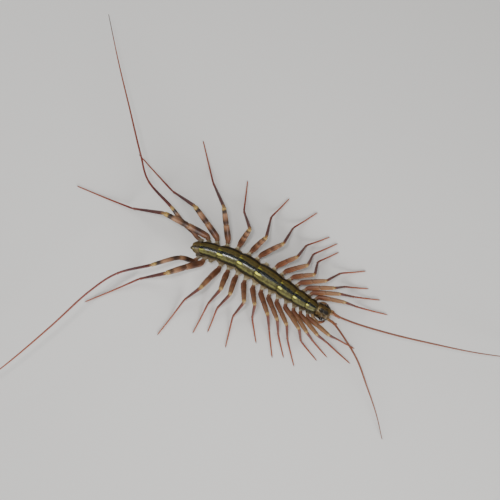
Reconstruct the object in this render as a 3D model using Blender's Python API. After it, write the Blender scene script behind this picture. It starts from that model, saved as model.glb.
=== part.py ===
# House centipede, life size, standing still on its feet.
# The head is towards +X, the animal's left is +Y, up is +Z, and the feet stand on Z = 0.
# Sizes and places are in millimetres, and MM turns them into metres when a mesh is made.

import math

import bpy
import bmesh
from mathutils import Vector
from mathutils.bvhtree import BVHTree

MM = 0.001
GAP = 0.3

# Body: eight back plates, of which the last is small, cover fifteen pairs of legs.
PLATE_EDGES = (-14.2, -13.0, -9.4, -5.1, -1.0, 4.2, 7.6, 10.5, 12.2)
HEAD_FRONT = 15.1
BEND_MIDDLE = -0.25
BEND_SWING = 0.63
BEND_CREST = -3.5
BEND_HALF_WAVE = 17.0
BULGE = 0.27
BULGE_AT = -6.5
BULGE_REACH = 3.0
HOOK = 0.6
HOOK_FROM = -10.5
HOOK_REACH = 3.7
TRUNK_Z = 2.95
TRUNK_ARCH = 0.15
TRUNK_END = 16.0
BELLY_DROP = 1.15
BELLY_CORNER_RISE = 0.3
BACK_RISE = 1.3
ARCH_POWER = 0.8
EDGE_RISE = 0.35
PLATE_HALF_WIDTH = 1.95
PLATE_TAPER = 0.6
PLATE_WIDEST_AT = -1.0
PLATE_TAPER_REACH = 17.0
BELLY_CONSTANT_SHARE = 0.4
BACK_CONSTANT_SHARE = 0.35
NECK_WIDTH_SHARE = 0.78
FLESH_SHARE = 0.8
PLEURA_SHARE = 0.4
PLEURA_LOW = 0.75
PLEURA_HIGH = 0.1
LIP = 0.3
SHINGLE_LIFT = 0.14
SADDLE_RISE = 0.13

# Rings of a trunk length from rear to front: place along it, width, lift, saddle and soft side, as shares.
TRUNK_RINGS = (
    (0.0, 0.94, 1.0, 0.7, 0.0),
    (0.1, 1.0, 0.9, 1.0, 0.6),
    (0.25, 1.0, 0.6, 0.0, 1.0),
    (0.5, 1.0, 0.1, 0.0, 1.0),
    (0.86, 0.97, -0.6, 0.0, 0.8),
    (1.0, 0.88, -1.0, 0.0, 0.2),
)

# Hips: one pair of coxae to each leg pair, from the first pair behind the head to the last.
HIP_X = (11.3, 9.9, 8.5, 6.8, 5.0, 3.2, 1.4, -0.4, -2.4, -4.3, -6.6, -8.6, -10.7, -12.2, -13.6)
HIP_REACH = 2.65
HIP_TAPER = 0.6
HIP_WIDEST_AT = -2.0
HIP_Z = 2.5
HIP_TURN_SHARE = 0.42
COXA_ROOT_SHARE = 0.5
COXA_BEND_SHARE = 0.55
COXA_RADIUS = 0.42
COXA_RISE = 12.0
LAST_COXA_SCALE = 0.85

# Legs: radii along a leg, in order from the trochanter to the claw.
TROCHANTER_LENGTH = 0.5
TROCHANTER_RADIUS = 0.35
LAST_TROCHANTER_RADIUS = 0.29
PREFEMUR_RADIUS = 0.52
FEMUR_RADIUS = 0.46
KNEE_RADIUS = 0.35
TIBIA_RADIUS = 0.3
TARSUS_RADIUS = 0.25
CLAW_RADIUS = 0.12
FRONT_LEG_SCALE = 0.86
REAR_LEG_SCALE = 1.18
ANKLE_Z = 0.95
KNEE_Z_FIRST = 4.8
KNEE_Z_LAST = 7.1
THIGH_ARCH = 0.45
THIGH_SHARE = 0.45
TROCHANTER_ROUNDING = 0.25
THIGH_ROUNDING = 0.9
KNEE_ROUNDING = 0.5
ANKLE_ROUNDING = 0.7
TOUCH_ROUNDING = 1.0
SHIN_HEAD_LENGTH = 0.8
TOUCH_DOWN = 0.5
LEG_SIDES = 6
HALF_HEX = math.sin(math.radians(60.0))

# Pose of each leg in plan: where its knee, its ankle and its claw are.
# The left eighth and the right thirteenth leg are lost, and only their coxae are left.
LEFT_LEGS = {
    1: ((16.5, 2.5), (19.5, 3.5), (25.5, 5.0)),
    2: ((15.0, 3.5), (18.0, 5.0), (23.0, 7.0)),
    3: ((13.5, 4.0), (15.5, 6.0), (20.0, 8.0)),
    4: ((11.5, 4.5), (13.5, 8.0), (18.0, 11.0)),
    5: ((9.0, 4.5), (8.5, 8.0), (11.5, 12.0)),
    6: ((7.0, 5.5), (7.0, 9.0), (10.5, 13.5)),
    7: ((4.5, 6.0), (5.0, 10.0), (8.5, 14.0)),
    9: ((1.0, 7.0), (1.0, 12.0), (4.0, 17.5)),
    10: ((-2.5, 6.5), (-4.0, 12.0), (-2.5, 17.5)),
    11: ((-6.0, 6.5), (-9.5, 10.5), (-12.0, 17.0)),
    12: ((-12.5, 8.0), (-18.0, 13.0), (-24.5, 20.5)),
    13: ((-17.5, 5.5), (-24.5, 7.5), (-35.0, 11.5)),
    14: ((-22.0, 1.5), (-30.0, 0.5), (-43.0, -0.5)),
}
RIGHT_LEGS = {
    1: ((16.5, -4.5), (18.5, -4.0), (22.5, -4.0)),
    2: ((14.5, -5.5), (17.0, -5.5), (23.0, -7.0)),
    3: ((12.5, -6.0), (14.5, -6.5), (18.5, -8.0)),
    4: ((10.9, -6.1), (12.4, -7.6), (17.0, -9.5)),
    5: ((8.5, -6.5), (10.0, -8.5), (13.5, -12.5)),
    6: ((6.5, -6.5), (8.0, -8.5), (11.0, -12.0)),
    7: ((4.5, -6.5), (6.0, -8.5), (9.0, -13.0)),
    8: ((1.5, -6.0), (2.0, -8.0), (5.0, -12.0)),
    9: ((-0.5, -6.5), (-1.5, -9.5), (0.0, -15.5)),
    10: ((-3.5, -6.5), (-5.0, -9.5), (-4.5, -14.5)),
    11: ((-5.5, -6.5), (-7.0, -9.5), (-7.0, -16.0)),
    12: ((-9.0, -8.0), (-11.5, -11.0), (-13.0, -19.5)),
    14: ((-16.0, -8.5), (-21.5, -11.5), (-29.0, -20.5)),
}

# The last pair trails behind in the air, each leg through a few points from its knee to its tip.
LAST_PAIR = 15
LAST_HIP_TURN = {1: 62.0, -1: 46.0}
LAST_COXA_RISE = 2.0
LAST_LEFT = ((-16.0, 1.5, 3.0), (-18.3, 2.0, 4.1), (-21.5, 3.3, 6.8), (-27.5, 5.5, 8.5),
             (-31.5, 9.5, 8.5), (-38.5, 17.0, 7.5), (-46.5, 25.5, 6.0), (-55.0, 35.0, 4.5))
LAST_RIGHT = ((-15.5, -4.5, 5.4), (-19.0, -8.5, 8.0), (-23.5, -13.0, 9.5), (-26.0, -18.0, 10.0),
              (-29.0, -26.5, 9.5), (-33.0, -36.0, 8.0), (-38.5, -47.0, 6.0))
LAST_ROOT_RADIUS = 0.44
LAST_KNEE_RADIUS = 0.36
LAST_TARSUS_RADIUS = 0.25
LAST_TIP_RADIUS = 0.12

# Head and what it carries.
HEAD_LENGTH = 2.75
HEAD_HALF_WIDTH = 1.5
HEAD_BACK_SHARE = 0.72
HEAD_SQUARENESS = 4.6
HEAD_TOP = 1.2
HEAD_BOTTOM = 0.75
HEAD_Z = 3.05
ROOT_LENGTH = 0.35
EYE_FORWARD = 13.95
EYE_ASIDE = 1.2
EYE_RISE = 0.2
EYE_SIZE = (0.64, 0.44, 0.52)
EYE_TURN = 24.0
ANTENNA_LEFT = ((16.0, -0.4, 4.2), (19.5, -0.3, 5.2), (26.5, 0.9, 6.2), (34.0, 2.8, 6.2),
                (42.0, 5.2, 5.0), (52.0, 9.0, 2.5))
ANTENNA_RIGHT = ((16.1, -1.9, 4.0), (18.6, -3.3, 4.8), (23.0, -6.1, 4.6), (27.0, -9.6, 3.2),
                 (31.0, -13.2, 1.4), (34.2, -16.8, 0.11))
ANTENNA_SEAT = (14.2, 0.2, 3.2)
ANTENNA_AIM = (15.7, 1.2, 3.4)
ANTENNA_ROOT_RADIUS = 0.3
ANTENNA_RADIUS = 0.25
ANTENNA_TIP_RADIUS = 0.12
FORCIPULE_SEAT = (11.6, 0.3, 2.6)
FORCIPULE_AIM = (12.1, 0.75, 1.6)
FORCIPULE_PATH = ((12.6, 1.55, 1.3), (13.7, 1.9, 1.3), (14.6, 1.4, 1.15), (14.9, 0.6, 1.05))
FORCIPULE_RADII = (0.33, 0.33, 0.31, 0.28, 0.24, 0.1)
PALP_SEAT = (14.0, 0.3, 2.9)
PALP_AIM = (14.9, 0.45, 2.0)
PALP_PATH = ((15.3, 0.6, 1.6), (15.9, 0.7, 1.2), (16.7, 0.7, 0.8), (17.4, 0.6, 0.5))
PALP_RADII = (0.27, 0.27, 0.26, 0.25, 0.25, 0.12)
TELSON_LENGTH = 0.8
TELSON_RADII = (0.62, 0.5, 0.22)

# Chitin: colour and roughness of each kind of part.
BACK_FINISH = ((0.30, 0.25, 0.10), 0.4)
TAIL_FINISH = ((0.30, 0.20, 0.08), 0.4)
LEG_FINISH = ((0.36, 0.16, 0.06), 0.45)
LAST_LEG_FINISH = ((0.32, 0.13, 0.05), 0.45)
EYE_FINISH = ((0.02, 0.015, 0.01), 0.2)
HEAD_FINISH = ((0.30, 0.22, 0.09), 0.4)
ANTENNA_FINISH = ((0.45, 0.16, 0.05), 0.5)
FORCIPULE_FINISH = ((0.34, 0.16, 0.06), 0.35)
PALP_FINISH = ((0.42, 0.24, 0.10), 0.5)


def clear_scene():
    for thing in list(bpy.data.objects):
        bpy.data.objects.remove(thing, do_unlink=True)


def new_collection(name):
    group = bpy.data.collections.new(name)
    bpy.context.scene.collection.children.link(group)
    return group


def mesh_object(name, bm, group):
    """Turn a bmesh in millimetres into an object in metres, with its faces pointing out."""
    bmesh.ops.recalc_face_normals(bm, faces=bm.faces)
    bmesh.ops.scale(bm, vec=(MM, MM, MM), verts=bm.verts)
    mesh = bpy.data.meshes.new(name)
    bm.to_mesh(mesh)
    bm.free()
    thing = bpy.data.objects.new(name, mesh)
    group.objects.link(thing)
    return thing


def loft(name, rings, group):
    """Skin a row of closed rings, each a list of as many points, and cap both ends."""
    bm = bmesh.new()
    loops = [[bm.verts.new(point) for point in ring] for ring in rings]
    count = len(loops[0])
    for one, two in zip(loops, loops[1:]):
        for i in range(count):
            j = (i + 1) % count
            bm.faces.new((one[i], one[j], two[j], two[i]))
    bm.faces.new(loops[0])
    bm.faces.new(loops[-1])
    return mesh_object(name, bm, group)


def smooth_path(points, steps):
    """Read a centripetal Catmull-Rom curve through the points, in steps to each span."""
    points = [Vector(p) for p in points]
    ends = [2 * points[0] - points[1]] + points + [2 * points[-1] - points[-2]]
    path = [points[0]]
    for a, b, c, d in zip(ends, ends[1:], ends[2:], ends[3:]):
        ab, bc, cd = (b - a).length ** 0.5, (c - b).length ** 0.5, (d - c).length ** 0.5
        leave = bc * ((b - a) / ab - (c - a) / (ab + bc) + (c - b) / bc)
        arrive = bc * ((c - b) / bc - (d - b) / (bc + cd) + (d - c) / cd)
        for k in range(1, steps + 1):
            t = k / steps
            rise = t * t * (3 - 2 * t)
            path.append((1 - rise) * b + rise * c + t * (1 - t) ** 2 * leave - t * t * (1 - t) * arrive)
    return path


def rounded_path(corners, steps):
    """Follow a broken line and round its corners: each corner is (point, rounding length)."""
    path = [Vector(corners[0][0])]
    for (before, _), (corner, length), (after, _) in zip(corners, corners[1:], corners[2:]):
        corner = Vector(corner)
        start = corner + (Vector(before) - corner).normalized() * length
        end = corner + (Vector(after) - corner).normalized() * length
        for k in range(steps + 1):
            t = k / steps
            path.append((1 - t) ** 2 * start + 2 * t * (1 - t) * corner + t ** 2 * end)
    path.append(Vector(corners[-1][0]))
    return path


def arc_lengths(path):
    lengths = [0.0]
    for one, two in zip(path, path[1:]):
        lengths.append(lengths[-1] + (two - one).length)
    return lengths


def between(stops, x):
    """Read a value at x from (place, value) stops, with straight runs between them."""
    for (x0, v0), (x1, v1) in zip(stops, stops[1:]):
        if x <= x1:
            share = max(0.0, (x - x0) / max(x1 - x0, 1e-9))
            return v0 + (v1 - v0) * share
    return stops[-1][1]


def tube(name, path, radii, sides, group):
    """Skin a path with regular rings whose lowest side lies flat, and cap both ends."""
    rings = []
    flat_side = Vector((0.0, 1.0, 0.0))
    for i, point in enumerate(path):
        ahead = (path[min(i + 1, len(path) - 1)] - path[max(i - 1, 0)]).normalized()
        level = Vector((ahead.x, ahead.y, 0.0))
        if level.length > 0.05:
            flat_side = Vector((-level.y, level.x, 0.0)).normalized()
        over = ahead.cross(flat_side).normalized()
        ring = []
        for k in range(sides):
            turn = math.tau * k / sides
            ring.append(point + radii[i] * (math.cos(turn) * flat_side + math.sin(turn) * over))
        rings.append(ring)
    return loft(name, rings, group)


def bend(x):
    """Sideways place of the body's middle line at x, which hooks to the right at the tail."""
    wave = BEND_MIDDLE + BEND_SWING * math.cos(math.pi * (x - BEND_CREST) / BEND_HALF_WAVE)
    bulge = BULGE * math.exp(-((x - BULGE_AT) / BULGE_REACH) ** 2)
    hook = HOOK * max(0.0, (HOOK_FROM - x) / HOOK_REACH) ** 2
    return wave + bulge - hook


def heading(x):
    """Direction of the body's middle line at x, as a turn about Z."""
    return math.atan2(bend(x + 0.05) - bend(x - 0.05), 0.1)


def across(x):
    turn = heading(x)
    return Vector((-math.sin(turn), math.cos(turn), 0.0))


def trunk_z(x):
    return TRUNK_Z + TRUNK_ARCH * (1 - (x / TRUNK_END) ** 2)


def plate_half_width(x):
    return PLATE_HALF_WIDTH * (1 - PLATE_TAPER * ((x - PLATE_WIDEST_AT) / PLATE_TAPER_REACH) ** 2)


def hip_reach(x):
    return HIP_REACH * (1 - HIP_TAPER * ((x - HIP_WIDEST_AT) / PLATE_TAPER_REACH) ** 2)


def fuse(base, pieces):
    """Join closed pieces to a base with one Boolean union and keep its largest surface."""
    group = new_collection("fusing")
    for piece in pieces:
        for holder in list(piece.users_collection):
            holder.objects.unlink(piece)
        group.objects.link(piece)
    union = base.modifiers.new("union", "BOOLEAN")
    union.operation = "UNION"
    union.operand_type = "COLLECTION"
    union.collection = group
    union.solver = "EXACT"
    take_evaluated_mesh(base)
    for piece in pieces:
        bpy.data.objects.remove(piece, do_unlink=True)
    bpy.data.collections.remove(group)
    keep_largest(base)


def take_evaluated_mesh(thing):
    graph = bpy.context.evaluated_depsgraph_get()
    mesh = bpy.data.meshes.new_from_object(thing.evaluated_get(graph))
    thing.modifiers.clear()
    thing.data = mesh


def keep_largest(thing):
    """Keep only the closed surface with the most faces."""
    bm = bmesh.new()
    bm.from_mesh(thing.data)
    left = set(bm.faces)
    shells = []
    while left:
        shell = set()
        edge_of_shell = [left.pop()]
        while edge_of_shell:
            face = edge_of_shell.pop()
            shell.add(face)
            for edge in face.edges:
                for other in edge.link_faces:
                    if other in left:
                        left.remove(other)
                        edge_of_shell.append(other)
        shells.append(shell)
    shells.sort(key=len)
    scraps = [face for shell in shells[:-1] for face in shell]
    bmesh.ops.delete(bm, geom=scraps, context="FACES")
    bm.to_mesh(thing.data)
    bm.free()


def finish(thing, look):
    """Give a piece its own chitin material and shade its round faces smooth."""
    colour, roughness = look
    material = bpy.data.materials.new(thing.name)
    material.use_nodes = True
    shader = material.node_tree.nodes["Principled BSDF"]
    shader.inputs["Base Color"].default_value = (*colour, 1.0)
    shader.inputs["Roughness"].default_value = roughness
    shader.inputs["Metallic"].default_value = 0.0
    thing.data.materials.clear()
    thing.data.materials.append(material)
    thing.data.shade_smooth()
    thing.data.set_sharp_from_angle(angle=math.radians(50.0))


def trunk_section(x, width_share, lift, saddle, soft):
    """Closed outline of the trunk at x: soft belly and sides below, arched plate above."""
    middle = Vector((x, bend(x), 0.0))
    side = across(x)
    z = trunk_z(x)
    narrow = plate_half_width(x) / PLATE_HALF_WIDTH
    half = plate_half_width(x) * width_share
    flesh = plate_half_width(x) * FLESH_SHARE
    bulge = plate_half_width(x) + PLEURA_SHARE * (hip_reach(x) - plate_half_width(x))
    pleura = flesh + soft * (bulge - flesh)
    belly = z - BELLY_DROP * (BELLY_CONSTANT_SHARE + (1 - BELLY_CONSTANT_SHARE) * narrow)
    edge = z + EDGE_RISE
    back = z + BACK_RISE * (BACK_CONSTANT_SHARE + (1 - BACK_CONSTANT_SHARE) * narrow) + lift
    lower = [
        (0.0, belly),
        (0.6 * flesh, belly + 0.04),
        (flesh, belly + BELLY_CORNER_RISE),
        (pleura, z - PLEURA_LOW),
        (pleura, z - PLEURA_HIGH),
        (flesh, edge - LIP),
        (half, edge - 0.7 * LIP),
    ]
    arch = []
    for share in (1.0, 0.85, 0.6, 0.3, 0.0):
        hump = saddle * max(0.0, 1 - share / 0.6) ** 2
        arch.append((half * share, edge + (back - edge) * (1 - share ** 2) ** ARCH_POWER + hump))
    left = lower + arch
    outline = left + [(-y, height) for y, height in reversed(left[1:-1])]
    return [middle + side * y + Vector((0.0, 0.0, height)) for y, height in outline]


def hip(pair, side):
    """Centre and outward direction of the coxa's end face for a leg pair, side +1 for left."""
    x = HIP_X[pair - 1]
    legs = LEFT_LEGS if side > 0 else RIGHT_LEGS
    square = math.degrees(heading(x)) + 90.0 * side
    if pair == LAST_PAIR:
        turn = square + LAST_HIP_TURN[side] * side
    elif pair in legs:
        knee = legs[pair][0]
        aim = math.degrees(math.atan2(knee[1] - bend(x) - side * hip_reach(x), knee[0] - x))
        turn = square + HIP_TURN_SHARE * ((aim - square + 180.0) % 360.0 - 180.0)
    else:
        turn = square
    turn = math.radians(turn)
    rise = math.radians(LAST_COXA_RISE if pair == LAST_PAIR else COXA_RISE)
    outward = Vector((math.cos(turn) * math.cos(rise), math.sin(turn) * math.cos(rise), math.sin(rise)))
    end = Vector((x, bend(x), HIP_Z)) + across(x) * side * hip_reach(x)
    return end, outward


def trunk_length(number, group):
    """One length of the trunk with its raised plate and the coxae that grow from it."""
    rear = PLATE_EDGES[-number - 1] + 0.5 * GAP
    front = PLATE_EDGES[-number] - 0.5 * GAP
    rings = []
    full = number < len(PLATE_EDGES) - 1
    for share, width, lift, saddle, soft in TRUNK_RINGS:
        x = rear + (front - rear) * share
        if number == 1:
            width *= 1 - (1 - NECK_WIDTH_SHARE) * share ** 3
        saddle_rise = saddle * SADDLE_RISE if full else 0.0
        rings.append(trunk_section(x, width, lift * SHINGLE_LIFT, saddle_rise, soft if full else 0.0))
    trunk = loft("trunk_%d" % number, rings, group)
    coxae = []
    for pair in range(1, LAST_PAIR + 1):
        if not PLATE_EDGES[-number - 1] < HIP_X[pair - 1] < PLATE_EDGES[-number]:
            continue
        for side in (1, -1):
            end, outward = hip(pair, side)
            x = HIP_X[pair - 1]
            root = Vector((x, bend(x), HIP_Z)) + across(x) * side * COXA_ROOT_SHARE * plate_half_width(x)
            path = [root, root.lerp(end, COXA_BEND_SHARE), end - 0.4 * outward, end]
            thick = COXA_RADIUS * (LAST_COXA_SCALE if pair == LAST_PAIR else min(1.0, leg_scale(pair)))
            radii = [thick, thick, thick * 0.95, thick * 0.8]
            coxae.append(tube("coxa", path, radii, 8, group))
    fuse(trunk, coxae)
    finish(trunk, BACK_FINISH)
    return trunk


def telson(group):
    x = PLATE_EDGES[0] - 0.5 * GAP
    turn = heading(x)
    back = Vector((-math.cos(turn), -math.sin(turn), 0.0))
    start = Vector((x, bend(x), trunk_z(x) + 0.1))
    path = [start, start + back * 0.6 * TELSON_LENGTH, start + back * TELSON_LENGTH]
    thing = tube("telson", path, TELSON_RADII, 10, group)
    finish(thing, TAIL_FINISH)


def leg_scale(pair):
    return FRONT_LEG_SCALE + (REAR_LEG_SCALE - FRONT_LEG_SCALE) * ((pair - 1) / 13.0) ** 1.5


def leg_path(pair, side):
    """Path of a standing leg from its trochanter to its claw, and the radius at each point."""
    knee, ankle, claw = (LEFT_LEGS if side > 0 else RIGHT_LEGS)[pair]
    end, outward = hip(pair, side)
    size = leg_scale(pair)
    start = end + outward * GAP
    bend_out = start + outward * TROCHANTER_LENGTH
    knee = Vector((*knee, KNEE_Z_FIRST + (KNEE_Z_LAST - KNEE_Z_FIRST) * (pair - 1) / 13.0))
    ankle = Vector((*ankle, ANKLE_Z))
    thigh = bend_out.lerp(knee, THIGH_SHARE) + Vector((0.0, 0.0, THIGH_ARCH * size))
    lowest = TARSUS_RADIUS * HALF_HEX
    claw = Vector((*claw, CLAW_RADIUS * HALF_HEX))
    touch = ankle.lerp(claw, TOUCH_DOWN)
    touch.z = lowest
    fine = touch.lerp(claw, 0.5)
    fine.z = lowest
    corners = [(start, 0.0), (bend_out, TROCHANTER_ROUNDING), (thigh, THIGH_ROUNDING * size),
               (knee, KNEE_ROUNDING), (ankle, ANKLE_ROUNDING), (touch, TOUCH_ROUNDING)]
    path = rounded_path(corners + [(fine, 0.0)], 2) + [claw]
    lengths = arc_lengths(path)
    places = {}
    for name, point in (("out", bend_out), ("thigh", thigh), ("knee", knee), ("ankle", ankle),
                        ("fine", fine)):
        nearest = min(range(len(path)), key=lambda i: (path[i] - point).length)
        places[name] = lengths[nearest]
    stops = [
        (0.0, TROCHANTER_RADIUS * min(1.0, size)),
        (places["out"], TROCHANTER_RADIUS * size),
        (0.5 * (places["out"] + places["thigh"]), PREFEMUR_RADIUS * size),
        (places["thigh"], FEMUR_RADIUS * size),
        (places["knee"], KNEE_RADIUS * size),
        (places["knee"] + SHIN_HEAD_LENGTH, TIBIA_RADIUS * size),
        (places["ankle"], TARSUS_RADIUS),
        (places["fine"], TARSUS_RADIUS),
        (lengths[-1], CLAW_RADIUS),
    ]
    return path, [between(stops, length) for length in lengths]


def standing_legs(group):
    for side, word, legs in ((1, "left", LEFT_LEGS), (-1, "right", RIGHT_LEGS)):
        for pair in legs:
            path, radii = leg_path(pair, side)
            leg = tube("leg_%s_%02d" % (word, pair), path, radii, LEG_SIDES, group)
            finish(leg, LEG_FINISH)


def last_leg_path(side):
    end, outward = hip(LAST_PAIR, side)
    start = end + outward * GAP
    points = [start, start + outward * TROCHANTER_LENGTH]
    points += LAST_LEFT if side > 0 else LAST_RIGHT
    path = smooth_path(points, 4)
    lengths = arc_lengths(path)
    whole = lengths[-1]
    stops = [(0.0, LAST_TROCHANTER_RADIUS), (1.2, LAST_ROOT_RADIUS), (0.15 * whole, LAST_KNEE_RADIUS),
             (0.3 * whole, LAST_TARSUS_RADIUS), (0.85 * whole, LAST_TARSUS_RADIUS),
             (whole, LAST_TIP_RADIUS)]
    return path, [between(stops, length) for length in lengths]


def last_legs(group):
    for side, word in ((1, "left"), (-1, "right")):
        path, radii = last_leg_path(side)
        leg = tube("leg_%s_%02d" % (word, LAST_PAIR), path, radii, LEG_SIDES, group)
        finish(leg, LAST_LEG_FINISH)


def head_section(share):
    """Outline of the head at a share of its length, from the neck at 0 to the front at 1."""
    x = HEAD_FRONT - HEAD_LENGTH * (1 - share)
    middle = Vector((x, bend(x), HEAD_Z))
    side = across(x)
    swell = math.sin(math.pi * (0.5 * share + 0.28)) if share < 0.44 else 1.0
    closing = max(0.0, (share - 0.44) / 0.56)
    roundness = math.sqrt(max(0.0, 1 - closing ** HEAD_SQUARENESS))
    wide = HEAD_HALF_WIDTH * (HEAD_BACK_SHARE + (1 - HEAD_BACK_SHARE) * swell) * roundness
    top = HEAD_TOP * (0.82 + 0.18 * swell) * roundness ** 0.9
    bottom = HEAD_BOTTOM * roundness ** 0.8
    ring = []
    count = 20
    for k in range(count):
        turn = math.tau * k / count
        y = math.copysign(abs(math.cos(turn)) ** 0.85, math.cos(turn)) * wide
        rise = math.sin(turn)
        z = rise * (top if rise > 0 else bottom)
        ring.append(middle + side * y + Vector((0.0, 0.0, z)))
    return ring


def eye_centre(side):
    x = EYE_FORWARD
    return Vector((x, bend(x), HEAD_Z + EYE_RISE)) + across(x) * side * EYE_ASIDE


def eye_ball(name, side, grow, group):
    """An eye, or with grow more than nothing the hollow that it sits in."""
    bm = bmesh.new()
    bmesh.ops.create_uvsphere(bm, u_segments=14, v_segments=9, radius=1.0)
    size = [half + grow for half in EYE_SIZE]
    bmesh.ops.scale(bm, vec=size, verts=bm.verts)
    turn = -side * math.radians(EYE_TURN) + heading(EYE_FORWARD)
    cosine, sine = math.cos(turn), math.sin(turn)
    centre = eye_centre(side)
    for vert in bm.verts:
        x, y, z = vert.co
        vert.co = centre + Vector((x * cosine - y * sine, x * sine + y * cosine, z))
    return mesh_object(name, bm, group)


def head_and_eyes(group, cutters):
    shares = (0.0, 0.14, 0.3, 0.46, 0.62, 0.76, 0.88, 0.96, 0.995)
    head = loft("head", [head_section(share) for share in shares], group)
    for side, word in ((1, "left"), (-1, "right")):
        cutter = eye_ball("socket_%s" % word, side, GAP, cutters)
        cutter.hide_render = True
        cutter.display_type = "WIRE"
        cut = head.modifiers.new("socket", "BOOLEAN")
        cut.operation = "DIFFERENCE"
        cut.object = cutter
        cut.solver = "EXACT"
        take_evaluated_mesh(head)
        eye = eye_ball("eye_%s" % word, side, 0.0, group)
        finish(eye, EYE_FINISH)
    keep_largest(head)
    finish(head, HEAD_FINISH)
    return head


def root_on(carrier, inside, towards):
    """Two points that stand square on a carrier's skin, the first of them GAP outside it.

    The skin is met on the way from a point inside the carrier to another outside it.
    """
    bm = bmesh.new()
    bm.from_mesh(carrier.data)
    tree = BVHTree.FromBMesh(bm)
    way = (Vector(towards) - Vector(inside)).normalized()
    hit, normal, _, _ = tree.ray_cast(Vector(inside) * MM, way)
    bm.free()
    hit /= MM
    return [hit + normal * GAP, hit + normal * (GAP + ROOT_LENGTH)]


def antennae(head, group):
    for side, word, points in ((1, "left", ANTENNA_LEFT), (-1, "right", ANTENNA_RIGHT)):
        inside = beside(side, ANTENNA_SEAT)
        path = smooth_path(root_on(head, inside, beside(side, ANTENNA_AIM)) + list(points), 4)
        lengths = arc_lengths(path)
        whole = lengths[-1]
        stops = [(0.0, ANTENNA_ROOT_RADIUS), (1.5, ANTENNA_RADIUS), (0.7 * whole, ANTENNA_RADIUS),
                 (whole, ANTENNA_TIP_RADIUS)]
        radii = [between(stops, length) for length in lengths]
        feeler = tube("antenna_%s" % word, path, radii, LEG_SIDES, group)
        finish(feeler, ANTENNA_FINISH)


def beside(side, place):
    """A place given as forward, aside and up, on one side of the body's middle line."""
    x, aside, z = place
    return Vector((x, bend(x), z)) + across(x) * side * aside


def mouthparts(head, first_trunk, group):
    for side, word in ((1, "left"), (-1, "right")):
        points = [beside(side, place) for place in FORCIPULE_PATH]
        root = root_on(first_trunk, beside(side, FORCIPULE_SEAT), beside(side, FORCIPULE_AIM))
        path = smooth_path(root + points, 3)
        marks = [3.0 * k for k in range(len(FORCIPULE_RADII))]
        radii = [between(list(zip(marks, FORCIPULE_RADII)), k) for k in range(len(path))]
        claw = tube("forcipule_%s" % word, path, radii, 8, group)
        finish(claw, FORCIPULE_FINISH)
        points = [beside(side, place) for place in PALP_PATH]
        root = root_on(head, beside(side, PALP_SEAT), beside(side, PALP_AIM))
        path = smooth_path(root + points, 3)
        radii = [between(list(zip(marks, PALP_RADII)), k) for k in range(len(path))]
        palp = tube("palp_%s" % word, path, radii, LEG_SIDES, group)
        finish(palp, PALP_FINISH)


def stand_on_origin(group):
    """Move every mesh so that the origin is under the middle of the whole model's box."""
    points = [vert.co for thing in group.objects for vert in thing.data.vertices]
    low = [min(point[i] for point in points) for i in range(3)]
    high = [max(point[i] for point in points) for i in range(3)]
    shift = Vector((-(low[0] + high[0]) / 2, -(low[1] + high[1]) / 2, -low[2]))
    for thing in group.objects:
        for vert in thing.data.vertices:
            vert.co += shift
        thing.data.update()


def main():
    clear_scene()
    parts = new_collection("house_centipede")
    cutters = new_collection("cutters")
    trunk = [trunk_length(number, parts) for number in range(1, len(PLATE_EDGES))]
    telson(parts)
    standing_legs(parts)
    last_legs(parts)
    head = head_and_eyes(parts, cutters)
    antennae(head, parts)
    mouthparts(head, trunk[0], parts)
    stand_on_origin(parts)


main()
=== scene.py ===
# %% [markdown]
# A house centipede, life size, as a museum shows it: standing still on its feet.
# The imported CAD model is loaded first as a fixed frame. It says where each leg, plate and feeler is.
# Everything after it dresses that frame with finer shapes and their finishes. Floor, camera and light
# come last.

# %% Load the frame
import math

import bmesh
import bpy
import numpy as np
from mathutils import Matrix, Vector


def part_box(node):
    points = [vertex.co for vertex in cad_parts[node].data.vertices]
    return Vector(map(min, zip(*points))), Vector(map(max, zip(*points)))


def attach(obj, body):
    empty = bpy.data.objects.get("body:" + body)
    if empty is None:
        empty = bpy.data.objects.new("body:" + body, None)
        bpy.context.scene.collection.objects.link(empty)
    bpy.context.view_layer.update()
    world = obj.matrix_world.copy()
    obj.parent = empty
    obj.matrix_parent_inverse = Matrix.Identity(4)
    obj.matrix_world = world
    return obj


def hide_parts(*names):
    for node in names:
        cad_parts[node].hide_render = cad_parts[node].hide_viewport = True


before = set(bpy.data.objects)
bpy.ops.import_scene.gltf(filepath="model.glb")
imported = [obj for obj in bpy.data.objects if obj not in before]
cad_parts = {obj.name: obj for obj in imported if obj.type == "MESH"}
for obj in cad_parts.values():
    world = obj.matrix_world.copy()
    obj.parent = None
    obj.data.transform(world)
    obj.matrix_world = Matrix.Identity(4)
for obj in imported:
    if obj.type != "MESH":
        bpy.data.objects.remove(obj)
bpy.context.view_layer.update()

# %% [markdown]
# The whole animal hangs on one curved middle line: seen from above, a stretch of a cosine with a small
# bulge and a hook at the tail. A Curve modifier could bend straight parts along a drawn line. A formula
# does it with less: a place on the body is told as three plain numbers, how far forward, how far aside
# and how high. Sizes are in millimetres here. They turn into metres when a mesh is made.

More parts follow.
